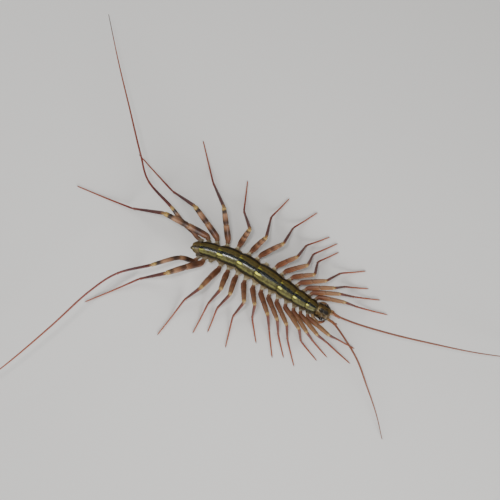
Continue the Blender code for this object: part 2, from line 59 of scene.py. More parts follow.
# %% The body's middle line
MM = 0.001
PLATE_EDGES = (-14.2, -13.0, -9.4, -5.1, -1.0, 4.2, 7.6, 10.5, 12.2)
BEND_MIDDLE, BEND_SWING, BEND_CREST, BEND_HALF_WAVE = -0.25, 0.63, -3.5, 17.0
BULGE, BULGE_AT, BULGE_REACH = 0.27, -6.5, 3.0
HOOK, HOOK_FROM, HOOK_REACH = 0.6, -10.5, 3.7
TRUNK_Z, TRUNK_ARCH, TRUNK_END = 2.95, 0.15, 16.0
BELLY_DROP, BACK_RISE, EDGE_RISE = 1.15, 1.3, 0.35
PLATE_HALF_WIDTH, PLATE_TAPER, PLATE_WIDEST_AT, PLATE_TAPER_REACH = 1.95, 0.6, -1.0, 17.0
FLESH_SHARE = 0.8


def bend(x):
    """Sideways place of the middle line at x, which hooks to the right at the tail."""
    wave = BEND_MIDDLE + BEND_SWING * np.cos(math.pi * (x - BEND_CREST) / BEND_HALF_WAVE)
    bulge = BULGE * np.exp(-((x - BULGE_AT) / BULGE_REACH) ** 2)
    hook = HOOK * np.maximum(0.0, (HOOK_FROM - x) / HOOK_REACH) ** 2
    return wave + bulge - hook


def heading(x):
    """Direction of the middle line at x, as a turn about Z."""
    return np.arctan2(bend(x + 0.05) - bend(x - 0.05), 0.1)


def place(x, aside, z):
    """Points from forward, aside and up, given as numbers or as arrays."""
    x, aside, z = np.broadcast_arrays(x, aside, z)
    turn = heading(x)
    return np.stack([x - np.sin(turn) * aside, bend(x) + np.cos(turn) * aside, z], axis=-1)


def beside(side, spot):
    """One point from (forward, aside, up), on the left for side 1 and on the right for side -1."""
    return Vector(place(spot[0], side * spot[1], spot[2]))


def trunk_z(x):
    return TRUNK_Z + TRUNK_ARCH * (1 - (x / TRUNK_END) ** 2)


def plate_half_width(x):
    return PLATE_HALF_WIDTH * (1 - PLATE_TAPER * ((x - PLATE_WIDEST_AT) / PLATE_TAPER_REACH) ** 2)


def back_rise(x):
    """Height of the back over the trunk's middle, lower where the trunk is narrow."""
    return BACK_RISE * (0.35 + 0.65 * (plate_half_width(x) / PLATE_HALF_WIDTH))


def belly_drop(x):
    """Depth of the belly under the trunk's middle, less where the trunk is narrow."""
    return BELLY_DROP * (0.4 + 0.6 * (plate_half_width(x) / PLATE_HALF_WIDTH))


# %% [markdown]
# The CAD model stands with the middle of its box over the origin, so it is shifted against the numbers
# above. The shift could be typed in, but a measured one stays right. The CAD model's left eye is a
# squashed ball, so the middle of its box is the middle of the eye, and comparing that with the middle
# worked out here gives the shift.

# %% Find the shift to the frame
HEAD_Z = 3.05
HEAD_FRONT = 15.1
EYE_FORWARD, EYE_ASIDE, EYE_RISE = 13.95, 1.2, 0.2
EYE_SIZE = (0.64, 0.44, 0.52)
EYE_TURN = 24.0


def eye_centre(side):
    return beside(side, (EYE_FORWARD, EYE_ASIDE, HEAD_Z + EYE_RISE))


eye_low, eye_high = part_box("eye_left")
SHIFT = (Vector(eye_low) + Vector(eye_high)) / (2 * MM) - eye_centre(1)
print("shift, mm:", [round(v, 2) for v in SHIFT])


def to_row(points):
    """Millimetres in the body's own frame to metres in the model's frame."""
    return (np.asarray(points, dtype=float) + np.array(SHIFT)) * MM


# %% [markdown]
# Node trees and materials could be drawn by hand in Blender's editors. Built in code they can be read and
# repeated. The maths in them is made of small steps, so one class wraps an output socket and understands
# plus, minus, times and the rest. A mask on the shell then reads like the formula it is.

# %% A socket that can be used in sums
class Wire:
    """An output socket of a node tree, made usable in Python expressions."""

    def __init__(self, tree, node, socket):
        self.tree, self.node, self.socket = tree, node, socket

    def out(self, name):
        """Another output of the same node."""
        return Wire(self.tree, self.node, self.node.outputs[name])

    def math(self, operation, *values):
        return add(self.tree, "ShaderNodeMath", dict(enumerate(values)), operation=operation)

    def __add__(self, other):
        return self.math("ADD", self, other)

    def __sub__(self, other):
        return self.math("SUBTRACT", self, other)

    def __rsub__(self, other):
        return self.math("SUBTRACT", other, self)

    def __mul__(self, other):
        return self.math("MULTIPLY", self, other)

    def __truediv__(self, other):
        return self.math("DIVIDE", self, other)

    def __gt__(self, other):
        return self.math("GREATER_THAN", self, other)

    def __abs__(self):
        return self.math("ABSOLUTE", self)

    __radd__ = __add__
    __rmul__ = __mul__

    def step(self, start, end):
        """Rise smoothly from 0 at start to 1 at end."""
        limits = {"From Min": start, "From Max": end, "Value": self}
        return add(self.tree, "ShaderNodeMapRange", limits, interpolation_type="SMOOTHSTEP")

    def bump(self, middle, reach):
        """1 at middle, falling smoothly to 0 at reach away from it on both sides."""
        return 1 - abs(self - middle).step(0.0, reach)


# %% [markdown]
# One function adds every other node. It sets the node first, because a setting such as a data type
# decides which sockets there are, and then fills the sockets. Colours could be typed as linear numbers,
# but web codes are what people know, so they are turned into the linear values that shaders work with.

# %% One function for every other node
def add(tree, kind, inputs=None, output=0, **settings):
    """Add a node, set it, then fill its sockets with values or with wires. stops fill a colour ramp."""
    node = tree.nodes.new(kind)
    for key, value in settings.items():
        if key == "stops":
            fill_ramp(node.color_ramp, value)
        else:
            setattr(node, key, value)
    for key, value in (inputs or {}).items():
        if isinstance(value, Wire):
            tree.links.new(value.socket, node.inputs[key])
        else:
            node.inputs[key].default_value = value
    return Wire(tree, node, node.outputs[output])


def fill_ramp(ramp, stops):
    while len(ramp.elements) < len(stops):
        ramp.elements.new(1.0)
    for element, (position, colour) in zip(ramp.elements, stops):
        element.position = position
        element.color = colour


def tint(code):
    """A colour from its six-figure web code, as the linear values that shaders use."""
    parts = [int(code[i:i + 2], 16) / 255 for i in (0, 2, 4)]
    return tuple(p / 12.92 if p <= 0.04045 else ((p + 0.055) / 1.055) ** 2.4 for p in parts) + (1.0,)


def mix(factor, one, two):
    """A colour between two others, each a wire or a web code."""
    one, two = [tint(colour) if isinstance(colour, str) else colour for colour in (one, two)]
    return add(factor.tree, "ShaderNodeMix", {0: factor, 6: one, 7: two}, output=2, data_type="RGBA")


print("a leg's red-brown as linear values:", [round(v, 3) for v in tint("70442f")])

# %% [markdown]
# Chitin is the centipede's whole surface: a thin, slightly clear, waxy-glossy shell. One material for all
# of it would be plain, as each part has its own pattern. So every finish below starts from the same
# Principled shader and adds its own colour, roughness and bump. A coat gives the wet-looking glints that
# the back shows under a lamp.

# %% A blank chitin
def chitin(name, coat=0.3, coat_roughness=0.2, glow=0.0, gloss=0.5):
    """A new material, its tree and its shader. glow is the share of light that shines through."""
    material = bpy.data.materials.new(name)
    material.use_nodes = True
    tree = material.node_tree
    shader = tree.nodes["Principled BSDF"]
    shader.inputs["Coat Weight"].default_value = coat
    shader.inputs["Coat Roughness"].default_value = coat_roughness
    shader.inputs["IOR"].default_value = 1.5
    shader.inputs["Specular IOR Level"].default_value = gloss
    if glow:
        shader.inputs["Subsurface Weight"].default_value = glow
        shader.inputs["Subsurface Scale"].default_value = 0.0004
        shader.inputs["Subsurface Radius"].default_value = (1.0, 0.6, 0.3)
    return material, tree, shader


def noise(tree, size, detail=3.0):
    """Cloudy noise whose blots are about size millimetres across."""
    spot = add(tree, "ShaderNodeTexCoord").out("Object")
    spot = add(tree, "ShaderNodeMapping", {"Vector": spot, "Scale": (1 / (size * MM),) * 3})
    return add(tree, "ShaderNodeTexNoise", {"Vector": spot, "Scale": 1.0, "Detail": detail})


def dress(tree, shader, colour, roughness, height=None, depth=0.0):
    """Connect a colour, a roughness and a bump of depth millimetres to the shader."""
    tree.links.new(colour.socket, shader.inputs["Base Color"])
    if isinstance(roughness, Wire):
        tree.links.new(roughness.socket, shader.inputs["Roughness"])
    else:
        shader.inputs["Roughness"].default_value = roughness
    if height is not None:
        bump = add(tree, "ShaderNodeBump", {"Height": height, "Distance": depth * MM})
        tree.links.new(bump.socket, shader.inputs["Normal"])


# %% [markdown]
# Hard shell parts could be modelled from cubes and cylinders. Lofted grids suit them better: rows of
# points around or across, joined by four-sided faces, can follow any formula. Points become a mesh in one
# place only, so that every piece sits at the origin with its place in its mesh.

# %% Meshes from points
def put(name, data):
    """A new object in the scene."""
    thing = bpy.data.objects.new(name, data)
    bpy.context.scene.collection.objects.link(thing)
    return thing


def new_piece(name, points, faces, edges=(), smooth=True):
    mesh = bpy.data.meshes.new(name)
    mesh.from_pydata(to_row(points).tolist(), list(edges), list(faces))
    mesh.update()
    if smooth:
        mesh.shade_smooth()
    return put(name, mesh)


def grid_faces(rows, columns, closed):
    """Faces of a grid of points, closed across its columns for a tube."""
    faces = []
    for i in range(rows - 1):
        for j in range(columns if closed else columns - 1):
            k = (j + 1) % columns
            a, b = i * columns, (i + 1) * columns
            faces.append((a + j, a + k, b + k, b + j))
    return faces


def tube_faces(rows, columns):
    faces = grid_faces(rows, columns, True)
    last = (rows - 1) * columns
    return faces + [tuple(range(columns))[::-1], tuple(range(last, last + columns))]


def give_uv(thing, values):
    """The piece's own map, from one (across, along) pair for each vertex."""
    layer = thing.data.uv_layers.new(name="Body")
    corners = np.empty(len(thing.data.loops), dtype=np.int32)
    thing.data.loops.foreach_get("vertex_index", corners)
    layer.data.foreach_set("uv", np.asarray(values, dtype=np.float32)[corners].ravel())


def plain_mesh(thing):
    """Turn what the modifiers make into the object's own mesh."""
    graph = bpy.context.evaluated_depsgraph_get()
    mesh = bpy.data.meshes.new_from_object(thing.evaluated_get(graph))
    thing.modifiers.clear()
    thing.data = mesh


def thicken(thing, thickness):
    """Turn a sheet into a shell so many millimetres thick, inwards from the sheet."""
    shell = thing.modifiers.new("thickness", "SOLIDIFY")
    shell.thickness = thickness * MM
    shell.offset = -1.0
    plain_mesh(thing)


# %% [markdown]
# Humps, grooves and marks have soft edges on the real shell. They could be sculpted and painted by hand.
# Here they are products of three simple curves, which are easy to move and to widen: a soft bump, a
# straight rise and a straight fall.

# %% Three curves
def soft(value, width):
    """1 where the value is 0, fading over the width on both sides."""
    return np.exp(-(value / width) ** 2)


def rising(value, start, reach):
    """0 up to the start, then straight up to 1 over the reach."""
    return np.clip((value - start) / reach, 0, 1)


def falling(value, end, reach):
    """1, then straight down over the reach to 0 at the end."""
    return np.clip((end - value) / reach, 0, 1)


print("a soft bump at half its width:", round(float(soft(0.5, 1.0)), 2))

# %% [markdown]
# Eight plates roof the long trunk, each over one to three pairs of legs. Each is a thin arched shell,
# widest near its middle. Its rear edge laps over the plate behind, its corners are rounded, and at the
# middle of that edge is a raised saddle with a slit, through which the animal breathes. Each plate could
# be sculpted, but all share these features in other proportions. So one formula on two numbers, across
# and along, makes all of them, and Solidify gives the thickness.

# %% Back plates
SHINGLE_LIFT, PLATE_OVERLAP, PLATE_THICKNESS = 0.14, 0.42, 0.07
CORNER_CUT, SLIT_NOTCH, TAIL_POINT, FRONT_LAP = 0.55, 0.32, 0.2, 0.1
REAR_NARROWING, FRONT_NARROWING, COLLAR_NARROWING = 0.11, 0.13, 0.1
RIM_RISE, LIP_RISE = 0.035, 0.02
SADDLE_RISE, SADDLE_REACH, SADDLE_AHEAD = 0.13, 0.42, 0.35
SLIT_DEPTH, SLIT_HALF_WIDTH, SLIT_REACH, SLIT_AHEAD = 0.16, 0.06, 0.28, 0.3
PLATES = len(PLATE_EDGES) - 1
ACROSS_STEPS, ALONG_STEPS = 65, 41


def plate_surface(number):
    """Points of a plate's outside, and for each its (across, along) pair from 0 to 1."""
    rear, front = PLATE_EDGES[-number - 1], PLATE_EDGES[-number]
    u = np.linspace(-1, 1, ACROSS_STEPS)[None, :]
    v = np.linspace(0, 1, ALONG_STEPS)[:, None]
    corner = CORNER_CUT * np.abs(u) ** 7
    notch = SLIT_NOTCH * soft(u, 0.16) if number < PLATES else -TAIL_POINT * soft(u, 0.4)
    rear_edge = rear - PLATE_OVERLAP * (1 - corner - notch) + 0.5 * corner
    front_edge = front + FRONT_LAP - 0.5 * np.abs(u) ** 5
    x = rear_edge + (front_edge - rear_edge) * v
    sides = 1 - REAR_NARROWING * falling(v, 0.3, 0.3) ** 2 - FRONT_NARROWING * rising(v, 0.5, 0.5) ** 2
    if number == 1:
        sides = sides * (1 - COLLAR_NARROWING * v ** 3)
    half = plate_half_width(x) * sides
    edge, back = trunk_z(x) + EDGE_RISE, trunk_z(x) + back_rise(x)
    lift = SHINGLE_LIFT * (1 - 2 * rising(v, 0.05, 0.9))
    z = edge + (back - edge) * (1 - u ** 2) ** 0.8 + lift
    z += RIM_RISE * soft(np.abs(u) - 0.95, 0.04)
    if number < PLATES:
        aside, ahead = u * half, x - (rear - PLATE_OVERLAP * 0.65)
        z += SADDLE_RISE * soft(aside, SADDLE_REACH) * soft(ahead - SADDLE_AHEAD, SADDLE_REACH)
        z -= SLIT_DEPTH * soft(aside, SLIT_HALF_WIDTH) * soft(ahead - SLIT_AHEAD, SLIT_REACH)
    z += LIP_RISE * soft(v, 0.03)
    points = place(x, u * half, z).reshape(-1, 3)
    uv = np.stack(np.broadcast_arrays(0.5 + 0.5 * u, v), axis=-1).reshape(-1, 2)
    return points, uv


plates = []
for number in range(1, PLATES + 1):
    points, uv = plate_surface(number)
    faces = [face[::-1] for face in grid_faces(ALONG_STEPS, ACROSS_STEPS, False)]
    plate = new_piece("plate_%d" % number, points, faces)
    give_uv(plate, uv)
    thicken(plate, PLATE_THICKNESS)
    plates.append(plate)
up = plates[3].data.polygons[ACROSS_STEPS * 10].normal.z
print("plates:", len(plates), "faces each:", len(plates[0].data.polygons), "normal up:", round(up, 2))

# %% [markdown]
# Fifteen pairs of hips carry the legs. Two legs of this animal are lost, and only the hip is left of
# each. An armature could pose the legs, but a model that never moves needs none. The pose is a given
# list: for each leg where the knee, the ankle and the claw are, seen from above. The heights follow from
# named sizes. A last leg's list gives its height at each point.

# %% Pose of the legs
HIP_X = (11.3, 9.9, 8.5, 6.8, 5.0, 3.2, 1.4, -0.4, -2.4, -4.3, -6.6, -8.6, -10.7, -12.2, -13.6)
HIP_REACH, HIP_TAPER, HIP_WIDEST_AT, HIP_Z = 2.65, 0.6, -2.0, 2.5
HIP_TURN_SHARE = 0.42
COXA_RADIUS, COXA_RISE, LAST_COXA_SCALE = 0.42, 12.0, 0.85
FRONT_LEG_SCALE, REAR_LEG_SCALE = 0.86, 1.18
ANKLE_Z, KNEE_Z_FIRST, KNEE_Z_LAST, THIGH_ARCH = 0.95, 4.8, 7.1, 0.45
ROOT_SINK, TROCHANTER_LENGTH, TOUCH_DOWN = 0.12, 0.5, 0.5
TROCHANTER_ROUNDING, THIGH_ROUNDING, KNEE_ROUNDING = 0.3, 0.9, 0.5
ANKLE_ROUNDING, TOUCH_ROUNDING = 0.7, 1.0
LAST_PAIR = 15
BOTH_SIDES = ((1, "left"), (-1, "right"))
LAST_HIP_TURN, LAST_COXA_RISE = {1: 62.0, -1: 46.0}, 2.0
POSE = {
    1: {
        1: ((16.5, 2.5), (19.5, 3.5), (25.5, 5.0)),
        2: ((15.0, 3.5), (18.0, 5.0), (23.0, 7.0)),
        3: ((13.5, 4.0), (15.5, 6.0), (20.0, 8.0)),
        4: ((11.5, 4.5), (13.5, 8.0), (18.0, 11.0)),
        5: ((9.0, 4.5), (8.5, 8.0), (11.5, 12.0)),
        6: ((7.0, 5.5), (7.0, 9.0), (10.5, 13.5)),
        7: ((4.5, 6.0), (5.0, 10.0), (8.5, 14.0)),
        9: ((1.0, 7.0), (1.0, 12.0), (4.0, 17.5)),
        10: ((-2.5, 6.5), (-4.0, 12.0), (-2.5, 17.5)),
        11: ((-6.0, 6.5), (-9.5, 10.5), (-12.0, 17.0)),
        12: ((-12.5, 8.0), (-18.0, 13.0), (-24.5, 20.5)),
        13: ((-17.5, 5.5), (-24.5, 7.5), (-35.0, 11.5)),
        14: ((-22.0, 1.5), (-30.0, 0.5), (-43.0, -0.5)),
    },
    -1: {
        1: ((16.5, -4.5), (18.5, -4.0), (22.5, -4.0)),
        2: ((14.5, -5.5), (17.0, -5.5), (23.0, -7.0)),
        3: ((12.5, -6.0), (14.5, -6.5), (18.5, -8.0)),
        4: ((10.9, -6.1), (12.4, -7.6), (17.0, -9.5)),
        5: ((8.5, -6.5), (10.0, -8.5), (13.5, -12.5)),
        6: ((6.5, -6.5), (8.0, -8.5), (11.0, -12.0)),
        7: ((4.5, -6.5), (6.0, -8.5), (9.0, -13.0)),
        8: ((1.5, -6.0), (2.0, -8.0), (5.0, -12.0)),
        9: ((-0.5, -6.5), (-1.5, -9.5), (0.0, -15.5)),
        10: ((-3.5, -6.5), (-5.0, -9.5), (-4.5, -14.5)),
        11: ((-5.5, -6.5), (-7.0, -9.5), (-7.0, -16.0)),
        12: ((-9.0, -8.0), (-11.5, -11.0), (-13.0, -19.5)),
        14: ((-16.0, -8.5), (-21.5, -11.5), (-29.0, -20.5)),
    },
}
LAST_LEFT = ((-16.0, 1.5, 3.0), (-18.3, 2.0, 4.1), (-21.5, 3.3, 6.8), (-27.5, 5.5, 8.5),
             (-31.5, 9.5, 8.5), (-38.5, 17.0, 7.5), (-46.5, 25.5, 6.0), (-55.0, 35.0, 4.5))
LAST_RIGHT = ((-15.5, -4.5, 5.4), (-19.0, -8.5, 8.0), (-23.5, -13.0, 9.5), (-26.0, -18.0, 10.0),
              (-29.0, -26.5, 9.5), (-33.0, -36.0, 8.0), (-38.5, -47.0, 6.0))
print("standing legs:", len(POSE[1]), "left,", len(POSE[-1]), "right")

# %% [markdown]
# Where a hip ends and which way it points decides how its leg starts. Both could be typed in for each leg.
# They are worked out instead, from the middle line and from the leg's knee, because a real hip turns a
# little towards its knee.

# %% Hips
def hip_reach(x):
    return HIP_REACH * (1 - HIP_TAPER * ((x - HIP_WIDEST_AT) / PLATE_TAPER_REACH) ** 2)


def hip(pair, side):
    """Middle and outward direction of a hip's end face."""
    x = HIP_X[pair - 1]
    turn = square = math.degrees(heading(x)) + 90.0 * side
    if pair == LAST_PAIR:
        turn = square + LAST_HIP_TURN[side] * side
    elif pair in POSE[side]:
        knee = POSE[side][pair][0]
        aim = math.degrees(math.atan2(knee[1] - bend(x) - side * hip_reach(x), knee[0] - x))
        turn = square + HIP_TURN_SHARE * ((aim - square + 180.0) % 360.0 - 180.0)
    turn, rise = math.radians(turn), math.radians(LAST_COXA_RISE if pair == LAST_PAIR else COXA_RISE)
    outward = Vector((math.cos(turn) * math.cos(rise), math.sin(turn) * math.cos(rise), math.sin(rise)))
    return beside(side, (x, hip_reach(x), HIP_Z)), outward


def rearness(pair):
    """0 for the first walking pair, 1 for the last."""
    return (pair - 1) / (LAST_PAIR - 2)


def leg_scale(pair):
    return FRONT_LEG_SCALE + (REAR_LEG_SCALE - FRONT_LEG_SCALE) * rearness(pair) ** 1.5


print("first left hip ends at, mm:", [round(v, 1) for v in hip(1, 1)[0]])

# %% [markdown]
# Every limb, feeler and jaw foot of an arthropod is a row of articles: tapered tubes, a little swollen
# before each joint and pinched at it. Each article could be a mesh of its own, but then the joints gape
# or cross. So one polyline describes a whole limb. Each of its points carries a radius and a number that
# counts the articles, 1.5 being the middle of the second. The materials read the same number later, which
# keeps every colour band on its article.

# %% Polylines with a radius and an article count
LIMB_STEP = 0.05
limb_points = {}


def read(stops, x):
    """Values at x from (place, value) stops, with straight runs between them."""
    places, values = zip(*stops)
    return np.interp(x, places, values)


def store(thing, name, values):
    """An attribute with one number for each vertex."""
    layer = thing.data.attributes.new(name, "FLOAT", "POINT")
    layer.data.foreach_set("value", np.asarray(values, dtype=np.float32))


def limb_line(name, path, marks, profile, scale, banded, ringed_from):
    """A polyline in place of a limb.

    path is its middle line, marks are (point on the path, article count) pairs, profile gives the radius
    for each count, scale is its thickness up to the count where rings begin.
    """
    path = np.array([tuple(p) for p in path])
    spans = np.linalg.norm(np.diff(path, axis=0), axis=1)
    lengths = np.concatenate([[0.0], np.cumsum(spans)])
    stops = []
    for point, count in marks:
        nearest = int(np.argmin(np.linalg.norm(path - np.array(tuple(point)), axis=1)))
        stops.append((lengths[nearest], count))
    steps = max(8, int(lengths[-1] / LIMB_STEP))
    along = np.linspace(0.0, lengths[-1], steps + 1)
    points = np.stack([np.interp(along, lengths, path[:, k]) for k in range(3)], axis=1)
    count = read(stops, along)
    thick = read(profile, count) * (1 + (scale - 1) * np.clip(ringed_from + 0.5 - count, 0, 1))
    edges = [(i, i + 1) for i in range(steps)]
    line = new_piece(name, points, [], edges, smooth=False)
    limb_points[name] = (points, count, thick)
    store(line, "thick", thick * MM)
    store(line, "article", count)
    store(line, "banded", np.full(steps + 1, banded))
    return line


# %% [markdown]
# Geometry Nodes make what follows a line or repeats over a surface. Modifiers could do some of that, but a
# tree takes its sizes as named inputs, so one tree serves every limb. These helpers start a tree, end it
# and run it on an object. The object then keeps the plain mesh, because instances wouldn't be exported.

# %% Starting, ending and running a tree
def new_tree(name, inputs):
    """A Geometry Nodes tree with named inputs, and a wire for each of them."""
    tree = bpy.data.node_groups.new(name, "GeometryNodeTree")
    tree.interface.new_socket("Geometry", in_out="INPUT", socket_type="NodeSocketGeometry")
    for label, kind in inputs:
        tree.interface.new_socket(label, in_out="INPUT", socket_type=kind)
    tree.interface.new_socket("Geometry", in_out="OUTPUT", socket_type="NodeSocketGeometry")
    entry = tree.nodes.new("NodeGroupInput")
    wires = {"Geometry": Wire(tree, entry, entry.outputs["Geometry"])}
    for label, _ in inputs:
        wires[label] = Wire(tree, entry, entry.outputs[label])
    return tree, wires


def close_tree(tree, geometry, material):
    """Realize the instances, set the material and end the tree."""
    real = add(tree, "GeometryNodeRealizeInstances", {"Geometry": geometry})
    done = add(tree, "GeometryNodeSetMaterial", {"Geometry": real, "Material": material})
    exit_node = tree.nodes.new("NodeGroupOutput")
    tree.links.new(done.socket, exit_node.inputs["Geometry"])


def named(tree, name, kind="FLOAT"):
    return add(tree, "GeometryNodeInputNamedAttribute", {"Name": name}, data_type=kind)


def keep(tree, geometry, name, value, kind="FLOAT"):
    """Store a value at every point under a name, for later nodes and for the finish."""
    stored = {"Geometry": geometry, "Name": name, "Value": value}
    return add(tree, "GeometryNodeStoreNamedAttribute", stored, data_type=kind)


def scaled(tree, vector, factor):
    """A vector made so many times as long."""
    return add(tree, "ShaderNodeVectorMath", {0: vector, "Scale": factor}, operation="SCALE")


def run_tree(thing, tree, **values):
    """Give an object a tree, set its inputs by their sockets' identifiers, keep the plain mesh."""
    modifier = thing.modifiers.new(tree.name, "NODES")
    modifier.node_group = tree
    for item in tree.interface.items_tree:
        label = item.name.replace(" ", "_").lower()
        if item.in_out == "INPUT" and label in values:
            modifier[item.identifier] = values[label]
    plain_mesh(thing)


# %% [markdown]
# The limb tree turns a polyline into a limb. A curve with a bevel would make a tube, but it couldn't swell
# in rings. The tree resamples the line finely, reads the radius, and swells and pinches it in a saw-tooth
# from the article where the rings begin, as the many little joints of a foot or a feeler do. A circle
# swept along the line is the skin. Five low keels then rise along thigh and shin, as those articles are
# five-cornered, with a row of spines on each corner.

# %% The limb tree
FLOAT, WHOLE, STUFF = "NodeSocketFloat", "NodeSocketInt", "NodeSocketMaterial"
KEELS = 5
limb_tree, at = new_tree("Limb", (("Ring Pitch", FLOAT), ("Ring Swell", FLOAT), ("Ringed From", FLOAT),
                                  ("Keel Height", FLOAT), ("Sides", WHOLE), ("Material", STUFF)))
line = add(limb_tree, "GeometryNodeMeshToCurve", {"Mesh": at["Geometry"]})
line = add(limb_tree, "GeometryNodeResampleCurve", {"Curve": line, "Length": at["Ring Pitch"] / 5},
           mode="LENGTH")
passed = add(limb_tree, "GeometryNodeSplineParameter").out("Length") / at["Ring Pitch"]
tooth = passed.math("FRACT", passed)
ringed = named(limb_tree, "article") > at["Ringed From"]
swell = 1 + ringed * at["Ring Swell"] * (tooth.step(0.0, 0.8) - tooth.step(0.8, 1.0) - 0.5)
line = keep(limb_tree, line, "along", add(limb_tree, "GeometryNodeInputTangent"), "FLOAT_VECTOR")
ring = add(limb_tree, "GeometryNodeCurvePrimitiveCircle", {"Resolution": at["Sides"], "Radius": 1.0})
ring = keep(limb_tree, ring, "around", add(limb_tree, "GeometryNodeSplineParameter"))
skin = add(limb_tree, "GeometryNodeCurveToMesh",
           {"Curve": line, "Profile Curve": ring, "Scale": named(limb_tree, "thick") * swell,
            "Fill Caps": True})
wave = named(limb_tree, "around") * (math.tau * KEELS)
article = named(limb_tree, "article")
keel = wave.math("COSINE", wave) * article.step(1.0, 1.2) * (1 - article.step(3.7, 4.0))
push = scaled(limb_tree, add(limb_tree, "GeometryNodeInputNormal"),
              keel * named(limb_tree, "thick") * at["Keel Height"])
skin = keep(limb_tree, skin, "keel", keel)
skin = add(limb_tree, "GeometryNodeSetPosition", {"Geometry": skin, "Offset": push})
skin = add(limb_tree, "GeometryNodeSetShadeSmooth", {"Geometry": skin, "Shade Smooth": True})
close_tree(limb_tree, skin, at["Material"])
print("limb tree nodes:", len(limb_tree.nodes))

# %% [markdown]
# All legs share the red-brown feet and the pale knees. The middle legs have plain brown thighs. Towards
# the tail these carry more and more dark and pale bands, most clearly on the left, and towards the head
# they turn tan. The bands could be painted leg by leg. Ramps along the article count colour all legs at
# once. Each leg stores one number, from -1 in front over 0 to 1 at the rear, that mixes the colours.

# %% Leg finish
ARTICLES = 7.0


def ramp(tree, factor, stops):
    """A ramp along the article count, from (count, web colour) stops."""
    stops = [(count / ARTICLES, tint(code)) for count, code in stops]
    return add(tree, "ShaderNodeValToRGB", {"Fac": factor / ARTICLES}, stops=stops)


def attribute(tree, name):
    return add(tree, "ShaderNodeAttribute", attribute_name=name).out("Fac")


def leg_material():
    material, tree, shader = chitin("leg_chitin", coat=0.2, coat_roughness=0.3, glow=0.06, gloss=0.25)
    article = attribute(tree, "article") + (noise(tree, 0.35) - 0.5) * 0.12
    plain = ramp(tree, article, (
        (0.0, "8a7052"), (0.4, "7a543c"), (1.15, "70442f"), (1.8, "744830"), (1.96, "7a5038"),
        (2.04, "5c3a28"), (2.15, "6e4630"), (2.5, "7c5438"), (2.87, "825e40"), (2.945, "b0925a"),
        (2.985, "9c7c4a"), (3.03, "602c22"), (3.6, "56281e"), (3.93, "783e2c"), (4.05, "6a3124"),
        (4.3, "783828"), (5.2, "8a482e"), (6.0, "925238"), (6.3, "4a2014")))
    banded = ramp(tree, article, (
        (0.0, "887050"), (0.5, "78543c"), (1.25, "6e4832"), (1.5, "3c261c"), (1.62, "322019"),
        (1.82, "745038"), (1.96, "8c6a4c"), (2.06, "4a3224"), (2.2, "2e2019"), (2.38, "7c5a42"),
        (2.6, "967256"), (2.72, "342a24"), (2.82, "2a201c"), (2.92, "b09254"), (2.99, "987844"),
        (3.06, "4c1c18"), (3.6, "40141a"), (3.93, "6c2a20"), (4.05, "64241c"), (4.3, "6e2a20"),
        (5.2, "84402a"), (6.0, "8e4c36"), (6.3, "3c1a12")))
    amount = attribute(tree, "banded")
    colour = mix(amount, plain, banded)
    thigh = article.step(1.3, 2.2) * (1 - article.step(2.85, 2.95))
    # The mix takes a factor below 0 as 0, so this one turns only the front legs' thighs tan.
    colour = mix(thigh * amount * -0.55, colour, "987450")
    colour = mix(attribute(tree, "keel").step(0.2, 1.0) * 0.4, colour, "3e1c14")
    fleck, fine = noise(tree, 0.14), noise(tree, 0.05, 4.0)
    colour = mix(fleck.step(0.56, 0.72) * 0.4, colour, "36190f")
    colour = mix(fine.step(0.55, 0.75) * 0.25, colour, "b08a68")
    dress(tree, shader, colour, 0.42 + 0.2 * fleck, fleck + 0.6 * fine, 0.03)
    return material


LEG_CHITIN = leg_material()
print("leg finish nodes:", len(LEG_CHITIN.node_tree.nodes))

# %% [markdown]
# A standing leg leaves its hip, climbs through the two thigh articles to the knee, drops down the shin
# to the ankle and lies down with the outer half of its long foot, whose many rings let it bend to the
# floor. It ends in one fine claw. A smooth curve through these points would overshoot at the sharp knee,
# so the path is a broken line with rounded corners.

# %% Path of a standing leg
FOOT_RADIUS, CLAW_RADIUS, CLAW_LENGTH, CLAW_TIP = 0.15, 0.12, 0.35, 0.05


def rounded_path(corners, steps=8):
    """A broken line with rounded corners: each corner is (point, rounding length)."""
    path = [Vector(corners[0][0])]
    for (before, _), (corner, length), (after, _) in zip(corners, corners[1:], corners[2:]):
        start = corner + (before - corner).normalized() * length
        end = corner + (after - corner).normalized() * length
        for k in range(steps + 1):
            t = k / steps
            path.append((1 - t) ** 2 * start + 2 * t * (1 - t) * corner + t ** 2 * end)
    path.append(Vector(corners[-1][0]))
    return path


def leg_path(pair, side):
    """Middle line of a standing leg and the marks where its articles end."""
    knee, ankle, claw = POSE[side][pair]
    end, outward = hip(pair, side)
    size = leg_scale(pair)
    start = end - outward * ROOT_SINK
    out = end + outward * (TROCHANTER_LENGTH + 0.25)
    knee = Vector((*knee, KNEE_Z_FIRST + (KNEE_Z_LAST - KNEE_Z_FIRST) * rearness(pair)))
    ankle = Vector((*ankle, ANKLE_Z))
    thigh = out.lerp(knee, 0.45) + Vector((0.0, 0.0, THIGH_ARCH * size))
    claw = Vector((*claw, CLAW_TIP))
    touch = ankle.lerp(claw, TOUCH_DOWN)
    touch.z = FOOT_RADIUS
    root = claw + (touch - claw).normalized() * CLAW_LENGTH
    root.z = CLAW_RADIUS
    corners = [(start, 0.0), (out, TROCHANTER_ROUNDING), (thigh, THIGH_ROUNDING * size),
               (knee, KNEE_ROUNDING), (ankle, ANKLE_ROUNDING), (touch, TOUCH_ROUNDING),
               (root, CLAW_TIP), (claw, 0.0)]
    path = rounded_path(corners)
    middle = ankle.lerp(touch, 0.55)
    marks = [(start, 0.0), (end + outward * 0.4, 1.0), (thigh, 2.0), (knee, 3.0), (ankle, 4.0),
             (middle, 5.0), (root, 6.0), (claw, 6.5)]
    return path, marks


print("points on a leg's path:", len(leg_path(1, 1)[0]))

